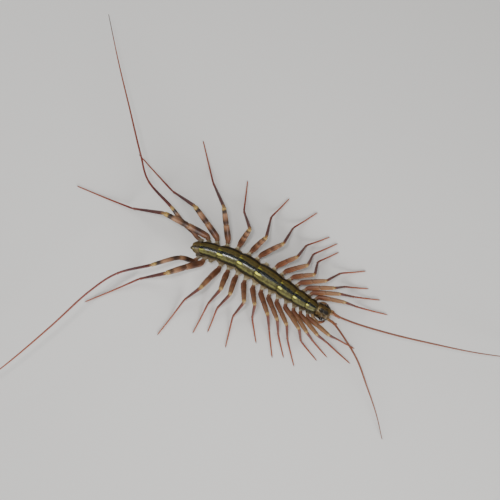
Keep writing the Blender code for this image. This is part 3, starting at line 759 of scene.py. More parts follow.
# %% [markdown]
# All standing legs have one build: a short ring at the hip, two thigh articles, a shin and a long ringed
# foot. Each could be modelled alone, but a list of (article count, radius) stops says the build for all
# of them. One scale makes the front legs slimmer and the rear ones stouter.

# %% Standing legs
LEG_PROFILE = ((0.0, 0.28), (0.3, 0.38), (0.75, 0.45), (0.9, 0.46), (0.96, 0.42), (1.0, 0.38),
               (1.04, 0.46), (1.1, 0.52), (1.3, 0.55), (1.6, 0.55), (1.88, 0.5), (1.955, 0.52),
               (1.975, 0.47), (1.995, 0.39), (2.015, 0.4), (2.04, 0.46), (2.12, 0.49), (2.4, 0.48),
               (2.8, 0.41), (2.93, 0.4), (2.965, 0.37), (2.985, 0.29), (3.01, 0.26), (3.03, 0.3),
               (3.1, 0.31), (3.5, 0.26), (3.85, 0.21), (3.93, 0.235), (3.965, 0.22), (3.985, 0.17),
               (4.01, 0.165), (4.03, 0.19), (4.5, 0.185), (5.0, 0.165), (6.0, 0.12), (6.05, 0.09),
               (6.5, 0.015))
RINGS_FROM, RING_PITCH, LAST_RING_PITCH = 4.0, 0.32, 0.36
LEG_LOOK = {"keel_height": 0.07, "sides": 20, "material": LEG_CHITIN}


def bandedness(pair, side):
    """-1 for the tan front legs, 0 for plain brown ones, up to 1 for the banded rear ones."""
    amount = max(-1.0, min(1.0, (pair - 7) / 5.0))
    if amount > 0 and side < 0:
        amount *= 0.7 if pair > 12 else 0.2
    return amount


def make_limb(name, path, marks, profile, scale, banded, ringed_from, **values):
    limb = limb_line(name, path, marks, profile, scale, banded, ringed_from)
    run_tree(limb, limb_tree, ringed_from=ringed_from, **values)
    return limb


legs = {}
for side, word in BOTH_SIDES:
    for pair in POSE[side]:
        path, marks = leg_path(pair, side)
        legs[side, pair] = make_limb("limb_%s_%02d" % (word, pair), path, marks, LEG_PROFILE,
                                     leg_scale(pair), bandedness(pair, side), RINGS_FROM,
                                     ring_pitch=RING_PITCH * MM, ring_swell=0.14, **LEG_LOOK)
print("a leg has", len(legs[1, 5].data.polygons), "faces")

# %% [markdown]
# The last pair doesn't walk. It trails behind like a second pair of feelers, longer than the body. Its
# thighs are like those of the other legs, and its foot has more than a hundred rings. It is held clear of
# the floor in wide arcs. A hand-drawn Bezier curve could follow these. A curve through a few listed points
# is as smooth, and each point can be moved by itself.

# %% Last legs
LAST_PROFILE = ((0.0, 0.28), (0.4, 0.34), (0.9, 0.38), (0.97, 0.34), (1.0, 0.3), (1.05, 0.37),
                (1.2, 0.42), (1.5, 0.44), (1.9, 0.4), (1.96, 0.41), (1.98, 0.37), (2.0, 0.31),
                (2.03, 0.36), (2.1, 0.39), (2.5, 0.37), (2.94, 0.31), (2.97, 0.29), (2.99, 0.23),
                (3.02, 0.25), (3.1, 0.26), (3.9, 0.19), (3.96, 0.21), (3.985, 0.17), (4.02, 0.18),
                (4.6, 0.18), (5.5, 0.15), (6.5, 0.07))
LAST_THICKNESS = 1.15
LAST_JOINTS = {1: (1, 2, 3), -1: (0, 1, 2)}


def smooth_path(points, steps=10):
    """A centripetal Catmull-Rom curve through the points, in steps to each span."""
    points = [Vector(p) for p in points]
    ends = [2 * points[0] - points[1]] + points + [2 * points[-1] - points[-2]]
    path = [points[0]]
    for a, b, c, d in zip(ends, ends[1:], ends[2:], ends[3:]):
        ab, bc, cd = (b - a).length ** 0.5, (c - b).length ** 0.5, (d - c).length ** 0.5
        leave = bc * ((b - a) / ab - (c - a) / (ab + bc) + (c - b) / bc)
        arrive = bc * ((c - b) / bc - (d - b) / (bc + cd) + (d - c) / cd)
        for k in range(1, steps + 1):
            t = k / steps
            rise = t * t * (3 - 2 * t)
            path.append((1 - rise) * b + rise * c + t * (1 - t) ** 2 * leave - t * t * (1 - t) * arrive)
    return path


def last_leg(side):
    """Middle line of a last leg and the marks where its articles end."""
    end, outward = hip(LAST_PAIR, side)
    spots = [Vector(p) for p in (LAST_LEFT if side > 0 else LAST_RIGHT)]
    out = end + outward * (TROCHANTER_LENGTH + 0.3)
    start = end - outward * ROOT_SINK
    path = smooth_path([start, out] + spots)
    joints = [(spots[i], count) for i, count in zip(LAST_JOINTS[side], (2.0, 3.0, 4.0))]
    return path, [(start, 0.0), (out, 1.0)] + joints + [(spots[-1], 6.5)]


for side, word in BOTH_SIDES:
    path, marks = last_leg(side)
    legs[side, LAST_PAIR] = make_limb("limb_%s_15" % word, path, marks, LAST_PROFILE, LAST_THICKNESS, 1.0,
                                      RINGS_FROM, ring_pitch=LAST_RING_PITCH * MM, ring_swell=0.12,
                                      **LEG_LOOK)
print("a last leg has", len(legs[1, LAST_PAIR].data.polygons), "faces")

# %% [markdown]
# Two feelers about as long as the body reach forward. Each starts in a ring on the front corner of the
# head with two stout articles, and the rest is a whip of more than a hundred short rings. The left one is
# held up, the right one droops until its tip touches the floor. A plain tapered tube would look like wire,
# so the limb tree makes them too, with fewer sides because they are so thin.

# %% Feelers
ANTENNA_LEFT = ((16.0, -0.4, 4.2), (19.5, -0.3, 5.2), (26.5, 0.9, 6.2), (34.0, 2.8, 6.2),
                (42.0, 5.2, 5.0), (52.0, 9.0, 2.5))
ANTENNA_RIGHT = ((16.1, -1.9, 4.0), (18.6, -3.3, 4.8), (23.0, -6.1, 4.6), (27.0, -9.6, 3.2),
                 (31.0, -13.2, 1.4), (34.2, -16.8, 0.11))
ANTENNA_ROOT = (14.75, 0.62, 3.3)
ANTENNA_SOCKET = (15.15, 0.86, 3.42)
FEELER_PROFILE = ((0.0, 0.24), (0.5, 0.29), (0.88, 0.28), (0.94, 0.27), (1.0, 0.21), (1.08, 0.25),
                  (1.3, 0.27), (1.8, 0.25), (1.93, 0.25), (2.0, 0.19), (2.1, 0.2), (4.0, 0.18),
                  (6.5, 0.07))
FEELER_RINGS_FROM, FEELER_RING_PITCH, FEELER_STEPS = 2.0, 0.22, 12


def feeler_material():
    material, tree, shader = chitin("feeler_chitin", coat=0.1, coat_roughness=0.35, glow=0.05)
    fleck = noise(tree, 0.2)
    colour = ramp(tree, attribute(tree, "article"), (
        (0.0, "8c6c40"), (0.9, "8a6238"), (0.97, "5a301c"), (1.15, "84502a"), (1.9, "80482a"),
        (2.2, "743f28"), (3.5, "78442c"), (5.0, "7c4832"), (6.5, "784a3a")))
    colour = mix(fleck.step(0.55, 0.7) * 0.3, colour, "5c2012")
    dress(tree, shader, colour, 0.42 + 0.15 * fleck, fleck, 0.01)
    return material


FEELER_CHITIN = feeler_material()
feelers = {}
for side, word, points in ((1, "left", ANTENNA_LEFT), (-1, "right", ANTENNA_RIGHT)):
    root, socket = beside(side, ANTENNA_ROOT), beside(side, ANTENNA_SOCKET)
    path = smooth_path([root, socket] + [Vector(p) for p in points], FEELER_STEPS)
    second, third = path[FEELER_STEPS + 6], path[2 * FEELER_STEPS + 3]
    marks = [(root, 0.0), (second, 1.0), (third, 2.0), (path[-1], 6.5)]
    feelers[side] = make_limb("feeler_" + word, path, marks, FEELER_PROFILE, 1.0, 0.0, FEELER_RINGS_FROM,
                              ring_pitch=FEELER_RING_PITCH * MM, ring_swell=0.1, keel_height=0.0,
                              sides=12, material=FEELER_CHITIN)
print("a feeler has", len(feelers[1].data.polygons), "faces")

# %% [markdown]
# The mouth's limbs are straw-coloured at the root and darken towards their tips, with a thin dark line at
# each joint. One plain brown would hide how many articles there are. So their finish is a ramp on the
# article count, as on the legs, with a few soft flecks.

# %% Finish of the mouth's limbs
def mouth_material(name, stops):
    material, tree, shader = chitin(name, glow=0.06)
    fleck = noise(tree, 0.25)
    colour = ramp(tree, attribute(tree, "article"), stops)
    colour = mix(fleck.step(0.5, 0.8) * 0.25, colour, "6a3a20")
    dress(tree, shader, colour, 0.3 + 0.15 * fleck, fleck, 0.01)
    return material


CLAW_CHITIN = mouth_material("claw_chitin", (
    (0.0, "8e7a54"), (0.9, "8c7048"), (1.0, "5c4228"), (1.1, "8c6c42"), (1.9, "886038"),
    (2.0, "583820"), (2.1, "84542c"), (2.9, "7c4824"), (3.0, "502a16"), (3.2, "703a1c"),
    (3.8, "48200f"), (4.3, "180a07")))
PALP_CHITIN = mouth_material("palp_chitin", (
    (0.0, "948060"), (0.95, "907450"), (1.0, "6c5036"), (1.1, "8c6c48"), (1.95, "886440"),
    (2.0, "644428"), (2.1, "845a38"), (2.95, "80502e"), (3.0, "5c3820"), (3.2, "7c4a2a"),
    (4.5, "6c3820")))
print("mouth finish nodes:", len(CLAW_CHITIN.node_tree.nodes))

# %% [markdown]
# Under the head lie the mouth's own limbs. The poison claws are the changed first legs of the animal:
# they come from below, pass beside the head and curve in to dark, sharp tips. In front of them two
# slender palps feel the food. They could be sculpted, but they are rows of articles like the legs, so
# the limb tree makes these as well, with no rings.

# %% Poison claws and palps
FORCIPULE_PATH = ((11.8, 0.5, 2.35), (11.85, 0.65, 1.65), (12.6, 1.55, 1.3), (13.7, 1.9, 1.3),
                  (14.6, 1.4, 1.15), (14.9, 0.6, 1.05))
PALP_PATH = ((14.4, 0.35, 2.6), (14.85, 0.5, 2.05), (15.3, 0.6, 1.6), (15.9, 0.7, 1.2),
             (16.7, 0.7, 0.8), (17.4, 0.6, 0.5))
CLAW_PROFILE = ((0.0, 0.26), (0.6, 0.34), (0.9, 0.34), (0.96, 0.3), (1.0, 0.25), (1.06, 0.31),
                (1.3, 0.34), (1.85, 0.31), (1.93, 0.32), (1.97, 0.28), (2.0, 0.23), (2.07, 0.27),
                (2.3, 0.29), (2.85, 0.26), (2.93, 0.27), (2.97, 0.23), (3.0, 0.19), (3.06, 0.23),
                (3.3, 0.21), (3.8, 0.15), (4.2, 0.08), (4.5, 0.01))
PALP_PROFILE = ((0.0, 0.2), (0.88, 0.25), (0.95, 0.23), (1.0, 0.18), (1.07, 0.23), (1.4, 0.25),
                (1.88, 0.23), (1.95, 0.21), (2.0, 0.17), (2.08, 0.21), (2.4, 0.23), (2.88, 0.21),
                (2.95, 0.19), (3.0, 0.15), (3.1, 0.2), (3.6, 0.21), (4.2, 0.15), (4.5, 0.03))
NO_RINGS = 9.0


def mouth_limb(name, path, joints, last, profile, keel_height, material):
    """A limb without rings: joints are the path's points where its articles end, last is its count."""
    marks = [(path[0], 0.0)] + [(path[step], float(k + 1)) for k, step in enumerate(joints)]
    return make_limb(name, path, marks + [(path[-1], last)], profile, 1.0, 0.0, NO_RINGS,
                     ring_pitch=0.2 * MM, ring_swell=0.0, keel_height=keel_height, sides=20,
                     material=material)


def side_path(side, spots):
    return smooth_path([beside(side, spot) for spot in spots])


claws, palps = {}, {}
for side, word in BOTH_SIDES:
    claws[side] = mouth_limb("claw_" + word, side_path(side, FORCIPULE_PATH), (20, 30, 38), 4.5,
                             CLAW_PROFILE, 0.03, CLAW_CHITIN)
    palps[side] = mouth_limb("feeding_palp_" + word, side_path(side, PALP_PATH), (12, 24, 36), 4.5,
                             PALP_PROFILE, 0.03, PALP_CHITIN)
print("claw faces:", len(claws[1].data.polygons), "palp faces:", len(palps[1].data.polygons))

# %% [markdown]
# Between the palps, under the front edge of the head, two pairs of short lobes close the mouth. Balls
# could fill the gap, but the real lobes are stout limbs with one joint, so they are made as such.

# %% Mouth lobes
LOBE_PROFILE = ((0.0, 0.2), (0.8, 0.21), (1.0, 0.17), (1.2, 0.19), (2.0, 0.13), (2.4, 0.03))
LOBE_PATHS = (((14.6, 0.2, 2.55), (14.95, 0.2, 2.25), (15.12, 0.17, 2.0), (15.2, 0.1, 1.8)),
              ((14.3, 0.75, 2.6), (14.6, 0.85, 2.25), (14.9, 0.75, 2.05), (15.1, 0.5, 2.0)))
lobes = []
for side, word in BOTH_SIDES:
    for number, spots in enumerate(LOBE_PATHS, start=1):
        lobes.append(mouth_limb("mouth_lobe_%s_%d" % (word, number), side_path(side, spots), (12,), 2.4,
                                LOBE_PROFILE, 0.02, PALP_CHITIN))
print("mouth lobes:", len(lobes))

# %% [markdown]
# Between and below the plates the trunk is soft: a pale, folded skin that runs without a seam from the
# neck to the tail and out over the hips. It could be one sculpted mesh. Simple lofts that run into each
# other are easier to shape with numbers. The first is the trunk, whose sides fold in between the hips.

# %% The trunk's flesh
TRUNK_ROWS, TRUNK_COLUMNS = 180, 44
BACK_SHARE, PLEURA_SHARE, AXIS_DROP, TRUNK_SQUARENESS = 0.82, 0.4, 0.1, 0.7
FOLD_REACH, BELLY_FOLD, SIDE_FOLD = 0.22, 0.08, 0.6
NECK_X = 12.95
BETWEEN_HIPS = [0.5 * (a + b) for a, b in zip(HIP_X, HIP_X[1:])]


def joined(parts):
    """Points and faces of one mesh from the (points, faces) pairs of its parts."""
    points, faces = [], []
    for some_points, some_faces in parts:
        start = len(points)
        points += [tuple(point) for point in some_points]
        faces += [tuple(start + corner for corner in face) for face in some_faces]
    return points, faces


def trunk_rows():
    """Points of the trunk: flesh under the plates, and folds of skin beside it towards the hips."""
    x = np.linspace(PLATE_EDGES[0] - 0.1, NECK_X, TRUNK_ROWS)[:, None]
    turn = np.linspace(0, 2 * math.pi, TRUNK_COLUMNS, endpoint=False)[None, :]
    fold = sum(soft(x - edge, FOLD_REACH) for edge in BETWEEN_HIPS)
    ends = np.sqrt(np.clip((x - PLATE_EDGES[0] + 0.25) / 0.8, 0.05, 1))
    flesh = plate_half_width(x) * FLESH_SHARE * ends
    pleura = plate_half_width(x) + PLEURA_SHARE * (hip_reach(x) - plate_half_width(x)) - flesh
    pleura = pleura * rising(x, PLATE_EDGES[1], 0.8) * falling(x, NECK_X, 1.2)
    top = trunk_z(x) + BACK_SHARE * back_rise(x) * ends
    belly = trunk_z(x) - belly_drop(x) * (1 - BELLY_FOLD * fold) * ends
    middle = trunk_z(x) - AXIS_DROP
    rise = np.sin(turn)
    z = middle + np.where(rise > 0, rise * (top - middle), rise * (middle - belly))
    wide = flesh + pleura * (1 - SIDE_FOLD * fold) * soft(z - trunk_z(x) + 0.42, 0.42)
    y = np.sign(np.cos(turn)) * np.abs(np.cos(turn)) ** TRUNK_SQUARENESS * wide
    return place(x, y, z).reshape(-1, 3)


trunk = trunk_rows(), tube_faces(TRUNK_ROWS, TRUNK_COLUMNS)
print("trunk points:", len(trunk[0]))

# %% [markdown]
# Each hip is a stout stub that leaves the trunk under the edge of a plate, and a pale point hoods the
# leg's joint from above. The tail ends in a small round lobe. Cylinders could stand in for them, but a
# tube along a path tapers and turns as a hip does.

# %% Lofts of the hips and the tail
LOFT_COLUMNS = 16
HIP_SIZES = ((1.5, 1.1), (1.5, 1.1), (1.25, 1.0), (1.0, 0.9), (0.78, 0.68))
HOOD_SIZES = ((0.42, 0.26), (0.4, 0.22), (0.22, 0.14), (0.04, 0.04))
TAIL_STEPS = (0.6, 0.0, -0.45, -0.8, -0.95)
TAIL_SIZES = ((0.6, 0.55), (0.58, 0.5), (0.48, 0.4), (0.3, 0.26), (0.1, 0.1))


def loft_along(path, sizes):
    """Points and faces of a tube along a path, with (half width, half height) for each of its points."""
    rows = []
    for i, point in enumerate(path):
        ahead = (path[min(i + 1, len(path) - 1)] - path[max(i - 1, 0)]).normalized()
        level = Vector((-ahead.y, ahead.x, 0.0)).normalized()
        over = ahead.cross(level)
        wide, high = sizes[i]
        for k in range(LOFT_COLUMNS):
            turn = math.tau * k / LOFT_COLUMNS
            rows.append(point + wide * math.cos(turn) * level + high * math.sin(turn) * over)
    return rows, tube_faces(len(path), LOFT_COLUMNS)


def hip_lofts():
    """One stout hip for each leg, and the pale point that hoods its joint unless the leg is lost."""
    for pair in range(1, LAST_PAIR + 1):
        size = LAST_COXA_SCALE if pair == LAST_PAIR else min(1.0, leg_scale(pair))
        for side in (1, -1):
            end, outward = hip(pair, side)
            x = HIP_X[pair - 1]
            root = beside(side, (x, 0.5 * plate_half_width(x), HIP_Z))
            thick = COXA_RADIUS * size
            path = [root, 0.45 * root + 0.55 * end, end - 0.45 * outward, end - 0.12 * outward, end]
            yield loft_along(path, [(thick * wide, thick * high) for wide, high in HIP_SIZES])
            if pair != LAST_PAIR and pair not in POSE[side]:
                continue
            up = Vector((0.0, 0.0, 1.0))
            hood = [end - 0.75 * outward + 0.12 * up, end - 0.3 * outward + 0.4 * thick * up,
                    end + 0.05 * outward + 0.7 * thick * up, end + 0.3 * outward + 0.72 * thick * up]
            yield loft_along(hood, HOOD_SIZES)


hips = list(hip_lofts())
tail_x = PLATE_EDGES[0]
tail = [beside(1, (tail_x + step, 0.0, trunk_z(tail_x) + 0.1)) for step in TAIL_STEPS]
print("lofts of hips and their points:", len(hips))

# %% [markdown]
# The lofts still cross each other. A Boolean union would join them with sharp seams. A voxel remesh melts
# them into one closed skin instead, and smoothing rounds the creases between them.

# %% One soft skin
SKIN_VOXEL = 0.00012
skin = new_piece("trunk_skin", *joined([trunk, *hips, loft_along(tail, TAIL_SIZES)]))
melt = skin.modifiers.new("melt", "REMESH")
melt.mode = "VOXEL"
melt.voxel_size = SKIN_VOXEL
round_off = skin.modifiers.new("round_off", "SMOOTH")
round_off.factor = 0.5
round_off.iterations = 4
plain_mesh(skin)
skin.data.shade_smooth()
print("skin faces:", len(skin.data.polygons))

# %% [markdown]
# The finish of the skin depends on how far out a point lies, but the remesh has lost any map. A map could
# be unwrapped anew, without knowing the body's middle. So the numbers come back from the formula of the
# middle line, turned round by a few steps of approximation, and go into a UV map.

# %% Forward and aside of any point
def body_numbers(thing):
    """(forward, aside, up) of every vertex, in millimetres in the body's frame."""
    co = np.empty(len(thing.data.vertices) * 3)
    thing.data.vertices.foreach_get("co", co)
    co = co.reshape(-1, 3) / MM - np.array(SHIFT)
    x, aside = co[:, 0].copy(), np.zeros(len(co))
    for _ in range(4):
        turn = heading(x)
        aside = (co[:, 1] - bend(x)) / np.cos(turn)
        x = co[:, 0] + np.sin(turn) * aside
    return x, aside, co[:, 2]


FORWARD_SPAN, ASIDE_SPAN = 40.0, 8.0
forward, aside, up = body_numbers(skin)
give_uv(skin, np.stack([0.5 + aside / ASIDE_SPAN, 0.5 + forward / FORWARD_SPAN], axis=1))
print("forward from", round(float(forward.min()), 1), "to", round(float(forward.max()), 1))

# %% [markdown]
# The skin is brown under the plates, paler on the hips, and nearly white on their points. It could be
# painted vertex by vertex. Steps on the distance from the middle line follow the hips by themselves, and
# noise breaks up their edges.

# %% Skin finish
def body_map(tree):
    """The piece's own map, whose X tells how far across and Y how far along a point lies."""
    return add(tree, "ShaderNodeSeparateXYZ", {"Vector": add(tree, "ShaderNodeUVMap", uv_map="Body")})


def skin_material():
    material, tree, shader = chitin("soft_skin", coat=0.08, coat_roughness=0.35, glow=0.15)
    out = abs(body_map(tree).out("X") - 0.5) * ASIDE_SPAN
    cloud, fine = noise(tree, 0.5), noise(tree, 0.06, 4.0)
    out = out + (cloud - 0.5) * 0.5
    colour = mix(out.step(1.3, 1.75), "3c3019", "7c6c4e")
    colour = mix(out.step(1.9, 2.5), colour, "b4a684")
    colour = mix(cloud.step(0.5, 0.62) * 0.55, colour, "4e4028")
    colour = mix(fine.step(0.52, 0.8) * 0.35, colour, "ccc09c")
    dress(tree, shader, colour, 0.42, cloud + 0.5 * fine, 0.06)
    return material


skin.data.materials.append(skin_material())
print("skin finish nodes:", len(skin.data.materials[0].node_tree.nodes))

# %% [markdown]
# The back plates carry the animal's best-known marks. Down the middle runs one blue-black stripe. Beside
# it the shell is olive, with a dark band near each edge and a pale rim outside it. Where each plate ends,
# the saddle shines lemon yellow on both sides of the stripe. Painted shade lies over the left half: its
# olive is darker and browner, darkest towards the edge, and its saddles are dimmer. The last two plates
# are duller, and the very last is brown. An image could hold all this, but it would blur close up. These
# are masks on the plate's own map, which tells how far across and how far along a point is.

# %% Back plate finish
def plate_material(name, bright=1.0, dull=0.0):
    material, tree, shader = chitin(name, gloss=0.25)
    spot = body_map(tree)
    cloud, fine, grain = noise(tree, 0.5), noise(tree, 0.07, 4.0), noise(tree, 0.16)
    signed = (spot.out("X") - 0.5) * 2
    # left marks the half of the plate that is painted in shade.
    left = signed.step(-0.1, 0.1)
    across = abs(signed) + (cloud - 0.5) * 0.12 + (grain - 0.5) * 0.06
    along = spot.out("Y") + (cloud - 0.5) * 0.1
    # The olive shell, with a lighter band between two darker lines. Its left half is darker
    # and browner, which is painted shade.
    colour = mix(cloud.step(0.35, 0.65), "46401c", "686638")
    colour = mix(left * 0.6, colour, "46350f")
    colour = mix(across.bump(0.62, 0.14) * 0.35, colour, mix(left, "88864a", "6e5a20"))
    colour = mix(grain.step(0.48, 0.66) * 0.45, colour, "2a230a")
    colour = mix(fine.step(0.6, 0.75) * 0.22, colour, "a09a54")
    colour = mix(across.bump(0.44, 0.08) * 0.4, colour, "30280e")
    # Painted shade: the outer part of the left half is darker still.
    colour = mix(across.step(0.5, 0.78) * left * 0.55, colour, "261c0a")
    # The dark band near the edge, and the rim.
    margin = (across + (cloud - 0.5) * 0.25).step(0.68, 0.76) * (1 - across.step(0.92, 0.96))
    colour = mix(margin * 0.93, colour, "171006")
    colour = mix(across.step(0.92, 0.96), colour, "4e4028")
    # The lemon saddle, dimmed on the left by painted shade, and a tan arc outside it on the left.
    saddle = across.bump(0.28, 0.19) * (1 - along.step(0.06, 0.34)) * (1 - left * 0.7)
    colour = mix(saddle.step(0.1, 0.6) * bright, colour, "e9e65c")
    arc = across.bump(0.5, 0.2) * (1 - along.step(0.03, 0.09)) * left
    colour = mix(arc * 0.6, colour, "94782a")
    # The stripe, which narrows forwards, and the dark rear edge.
    half = 0.205 - 0.1 * along * along
    stripe = (1 - (across - half).step(-0.02, 0.02)) * (1 - 0.8 * along.step(0.84, 0.93))
    colour = mix(stripe, colour, mix(cloud.step(0.4, 0.6), "040607", "0e1716"))
    colour = mix((1 - along.step(0.0, 0.04)) * 0.7, colour, "201a0b")
    brown = mix(cloud.step(0.4, 0.6), "4a3a20", "6e5c38")
    colour = mix(dull * (1 - 0.6 * stripe), colour, brown)
    # The stripe is the glossiest part, and small pits break up its gloss.
    roughness = 0.4 + 0.2 * grain - 0.26 * stripe
    dress(tree, shader, colour, roughness, (grain + 0.5 * fine) * (1 + 0.4 * stripe), 0.05)
    pits = (0.6 * grain + 0.4 * cloud).step(0.46, 0.56)
    coat = 0.12 + 0.1 * (1 - across.step(0.5, 0.68)) + 0.6 * stripe * (1 - 0.85 * pits)
    tree.links.new(coat.socket, shader.inputs["Coat Weight"])
    return material


PLATE_CHITIN = plate_material("back_plate_chitin")
REAR_CHITIN = plate_material("rear_plate_chitin", bright=0.35)
LAST_CHITIN = plate_material("last_plate_chitin", bright=0.35, dull=0.75)
for plate, finish in zip(plates, [PLATE_CHITIN] * 6 + [REAR_CHITIN, LAST_CHITIN]):
    plate.data.materials.append(finish)
print("plate finish nodes:", len(PLATE_CHITIN.node_tree.nodes))

# %% [markdown]
# Below, each pair of legs has its own small plate between the hips. The photo doesn't show them, but the
# animal has them. Paint on the skin would be the quick way, but their hard edges catch the light. So they
# are shells that follow the round of the belly a little outside the skin, and Solidify gives them their
# edge.

# %% Belly plates
BELLY_SHARE, BELLY_STAND_OUT, BELLY_THICKNESS = 0.62, 0.05, 0.06
BELLY_ACROSS, BELLY_ALONG = 17, 15
HALF_SEAM = 0.12


def belly_plate(rear, front):
    """Points of one belly plate between two places along the body."""
    u = np.linspace(-1, 1, BELLY_ACROSS)[None, :]
    v = np.linspace(0, 1, BELLY_ALONG)[:, None]
    x = rear + (front - rear) * (v + 0.1 * (0.5 - v) * np.abs(u) ** 3)
    aside = u * BELLY_SHARE * plate_half_width(x) * (1 - 0.18 * np.abs(2 * v - 1) ** 4)
    middle = trunk_z(x) - AXIS_DROP
    deep = belly_drop(x) - AXIS_DROP + BELLY_STAND_OUT
    level = (np.abs(aside) / (plate_half_width(x) * FLESH_SHARE)) ** (1 / TRUNK_SQUARENESS)
    dome = 0.05 * (1 - u ** 4) * (1 - (2 * v - 1) ** 4)
    return place(x, aside, middle - deep * np.sqrt(1 - level ** 2) - dome).reshape(-1, 3)


def belly_plates():
    edges = [HIP_X[0] + 0.75, *BETWEEN_HIPS, HIP_X[-1] - 0.6]
    faces = grid_faces(BELLY_ALONG, BELLY_ACROSS, False)
    parts = []
    for front, rear in zip(edges, edges[1:]):
        parts.append((belly_plate(rear + HALF_SEAM, front - HALF_SEAM), faces))
    thing = new_piece("belly_plates", *joined(parts))
    thicken(thing, BELLY_THICKNESS)
    return thing


def belly_material():
    material, tree, shader = chitin("belly_chitin", coat=0.25, coat_roughness=0.25, glow=0.08)
    cloud, grain = noise(tree, 0.5), noise(tree, 0.1, 4.0)
    colour = mix(cloud.step(0.35, 0.65), "7a6440", "a08c60")
    colour = mix(grain.step(0.5, 0.7) * 0.4, colour, "5c4628")
    dress(tree, shader, colour, 0.36 + 0.2 * grain, grain, 0.03)
    return material


belly = belly_plates()
belly.data.materials.append(belly_material())
print("belly faces:", len(belly.data.polygons), "down:", round(belly.data.polygons[100].normal.z, 2))

# %% [markdown]
# The head is a blunt, flat capsule, widest at the eyes. A cube under Subdivision Surface could be pulled
# into it. It is lofted from neck to front from rounded sections instead, because a few named sizes then
# say how wide and how high each section is.

# %% Head capsule
HEAD_LENGTH, HEAD_HALF_WIDTH, HEAD_BACK_SHARE, HEAD_SQUARENESS = 2.75, 1.5, 0.72, 4.6
HEAD_TOP, HEAD_BOTTOM = 1.2, 0.75
HEAD_ROWS, HEAD_COLUMNS = 90, 112


def point_outwards(thing):
    bm = bmesh.new()
    bm.from_mesh(thing.data)
    bmesh.ops.recalc_face_normals(bm, faces=bm.faces)
    bm.to_mesh(thing.data)
    bm.free()


def head_points():
    """Points of the head before carving, and for each its (across, forward) pair from 0 to 1."""
    share = 1 - np.linspace(1, 0.02, HEAD_ROWS)[:, None] ** 1.5
    share = np.clip(share, 0, 0.9985)
    turn = np.linspace(0, 2 * math.pi, HEAD_COLUMNS, endpoint=False)[None, :]
    x = HEAD_FRONT - HEAD_LENGTH * (1 - share)
    swell = np.where(share < 0.44, np.sin(math.pi * (0.5 * share + 0.28)), 1.0)
    roundness = np.sqrt(1 - rising(share, 0.44, 0.56) ** HEAD_SQUARENESS)
    wide = HEAD_HALF_WIDTH * (HEAD_BACK_SHARE + (1 - HEAD_BACK_SHARE) * swell) * roundness
    top = HEAD_TOP * (0.82 + 0.18 * swell) * roundness ** 0.9
    bottom = HEAD_BOTTOM * roundness ** 0.8
    y = np.sign(np.cos(turn)) * np.abs(np.cos(turn)) ** 0.85 * wide
    rise = np.sin(turn)
    z = HEAD_Z + np.where(rise > 0, rise * top, rise * bottom)
    points = place(x, y, z).reshape(-1, 3)
    uv = np.stack(np.broadcast_arrays(0.5 + y / (2.4 * HEAD_HALF_WIDTH), share), axis=-1)
    return points, uv.reshape(-1, 2)


head_spots, head_uv = head_points()
head = new_piece("head_capsule", head_spots, tube_faces(HEAD_ROWS, HEAD_COLUMNS))
point_outwards(head)
give_uv(head, head_uv)
print("head faces:", len(head.data.polygons))

# %% [markdown]
# The real head isn't smooth. A furrow runs down the middle of its back half and a crease crosses it
# between the eyes, each feeler stands in a raised ring, and each eye has a rim. Sculpting would make all
# this by hand. Here the points move along their normals by a sum of soft bumps, which can be changed one
# by one.

# %% Furrows, rings and rims of the head
def socket_ring(side, radius, width):
    """A soft ring of a radius round the foot of a feeler, over the points of the head."""
    distance = np.linalg.norm(head_spots - np.array(beside(side, ANTENNA_SOCKET)), axis=1)
    return soft(distance - radius, width)


def eye_turn(side):
    """The way that an eye's long axis points, as a turn about Z."""
    return float(heading(EYE_FORWARD)) - side * math.radians(EYE_TURN)


def eye_distance(side):
    """How far the points of the head are from an eye's middle, counted in the eye's own half sizes."""
    x, y, z = (head_spots - np.array(eye_centre(side))).T
    cos, sin = math.cos(eye_turn(side)), math.sin(eye_turn(side))
    ahead, out = x * cos + y * sin, y * cos - x * sin
    return np.sqrt((ahead / EYE_SIZE[0]) ** 2 + (out / EYE_SIZE[1]) ** 2 + (z / EYE_SIZE[2]) ** 2)


def carve_head():
    """Move the head's points along their normals, and tell the largest move."""
    forward, aside, up = body_numbers(head)
    front, wide = HEAD_FRONT - forward, np.abs(aside)
    top, below = rising(up, HEAD_Z, 0.5), falling(up, HEAD_Z, 0.3)
    # The furrow, the crease across it and a shallow one near the neck.
    move = -0.05 * soft(aside, 0.06) * rising(front, 1.3, 0.4) * top
    move -= 0.06 * soft(front - 1.55 + 0.25 * (aside / 1.2) ** 2, 0.06) * top
    move -= 0.03 * soft(front - 2.4, 0.07) * top
    # Two low swellings behind the crease, two before it, and a slanting furrow beside each of these.
    move += 0.06 * soft(wide - 0.55, 0.25) * soft(front - 2.0, 0.32) * top
    move += 0.05 * soft(wide - 0.38, 0.2) * soft(front - 0.95, 0.3) * top
    move -= 0.05 * soft(wide - 0.72 - 0.2 * front, 0.05) * falling(front, 1.4, 0.3) * top
    # Two grooves across the face, the cleft in the lip, and the cheeks below.
    move -= 0.06 * soft(up - HEAD_Z + 0.12, 0.05) * falling(front, 0.8, 0.2)
    move -= 0.05 * soft(up - HEAD_Z + 0.42, 0.05) * falling(front, 1.0, 0.2)
    move -= 0.07 * soft(aside, 0.05) * falling(front, 0.8, 0.2) * below
    move += 0.1 * soft(wide - 0.95, 0.3) * soft(front - 1.5, 0.6) * below
    # The ring of each feeler. Each eye has a rim with a groove outside it and lies in a hollow.
    for side in (1, -1):
        move += 0.08 * socket_ring(side, 0.36, 0.06)
        far = eye_distance(side)
        move += 0.04 * soft(far - 1.16, 0.07) - 0.05 * soft(far - 1.34, 0.06)
        move -= 0.1 * falling(far, 1.0, 1.0)
    normals = np.empty(len(head_spots) * 3)
    head.data.vertices.foreach_get("normal", normals)
    moved = head_spots + normals.reshape(-1, 3) * move[:, None]
    head.data.vertices.foreach_set("co", to_row(moved).ravel())
    head.data.update()
    return float(np.abs(move).max())


print("head moved by up to", round(carve_head(), 2), "mm")

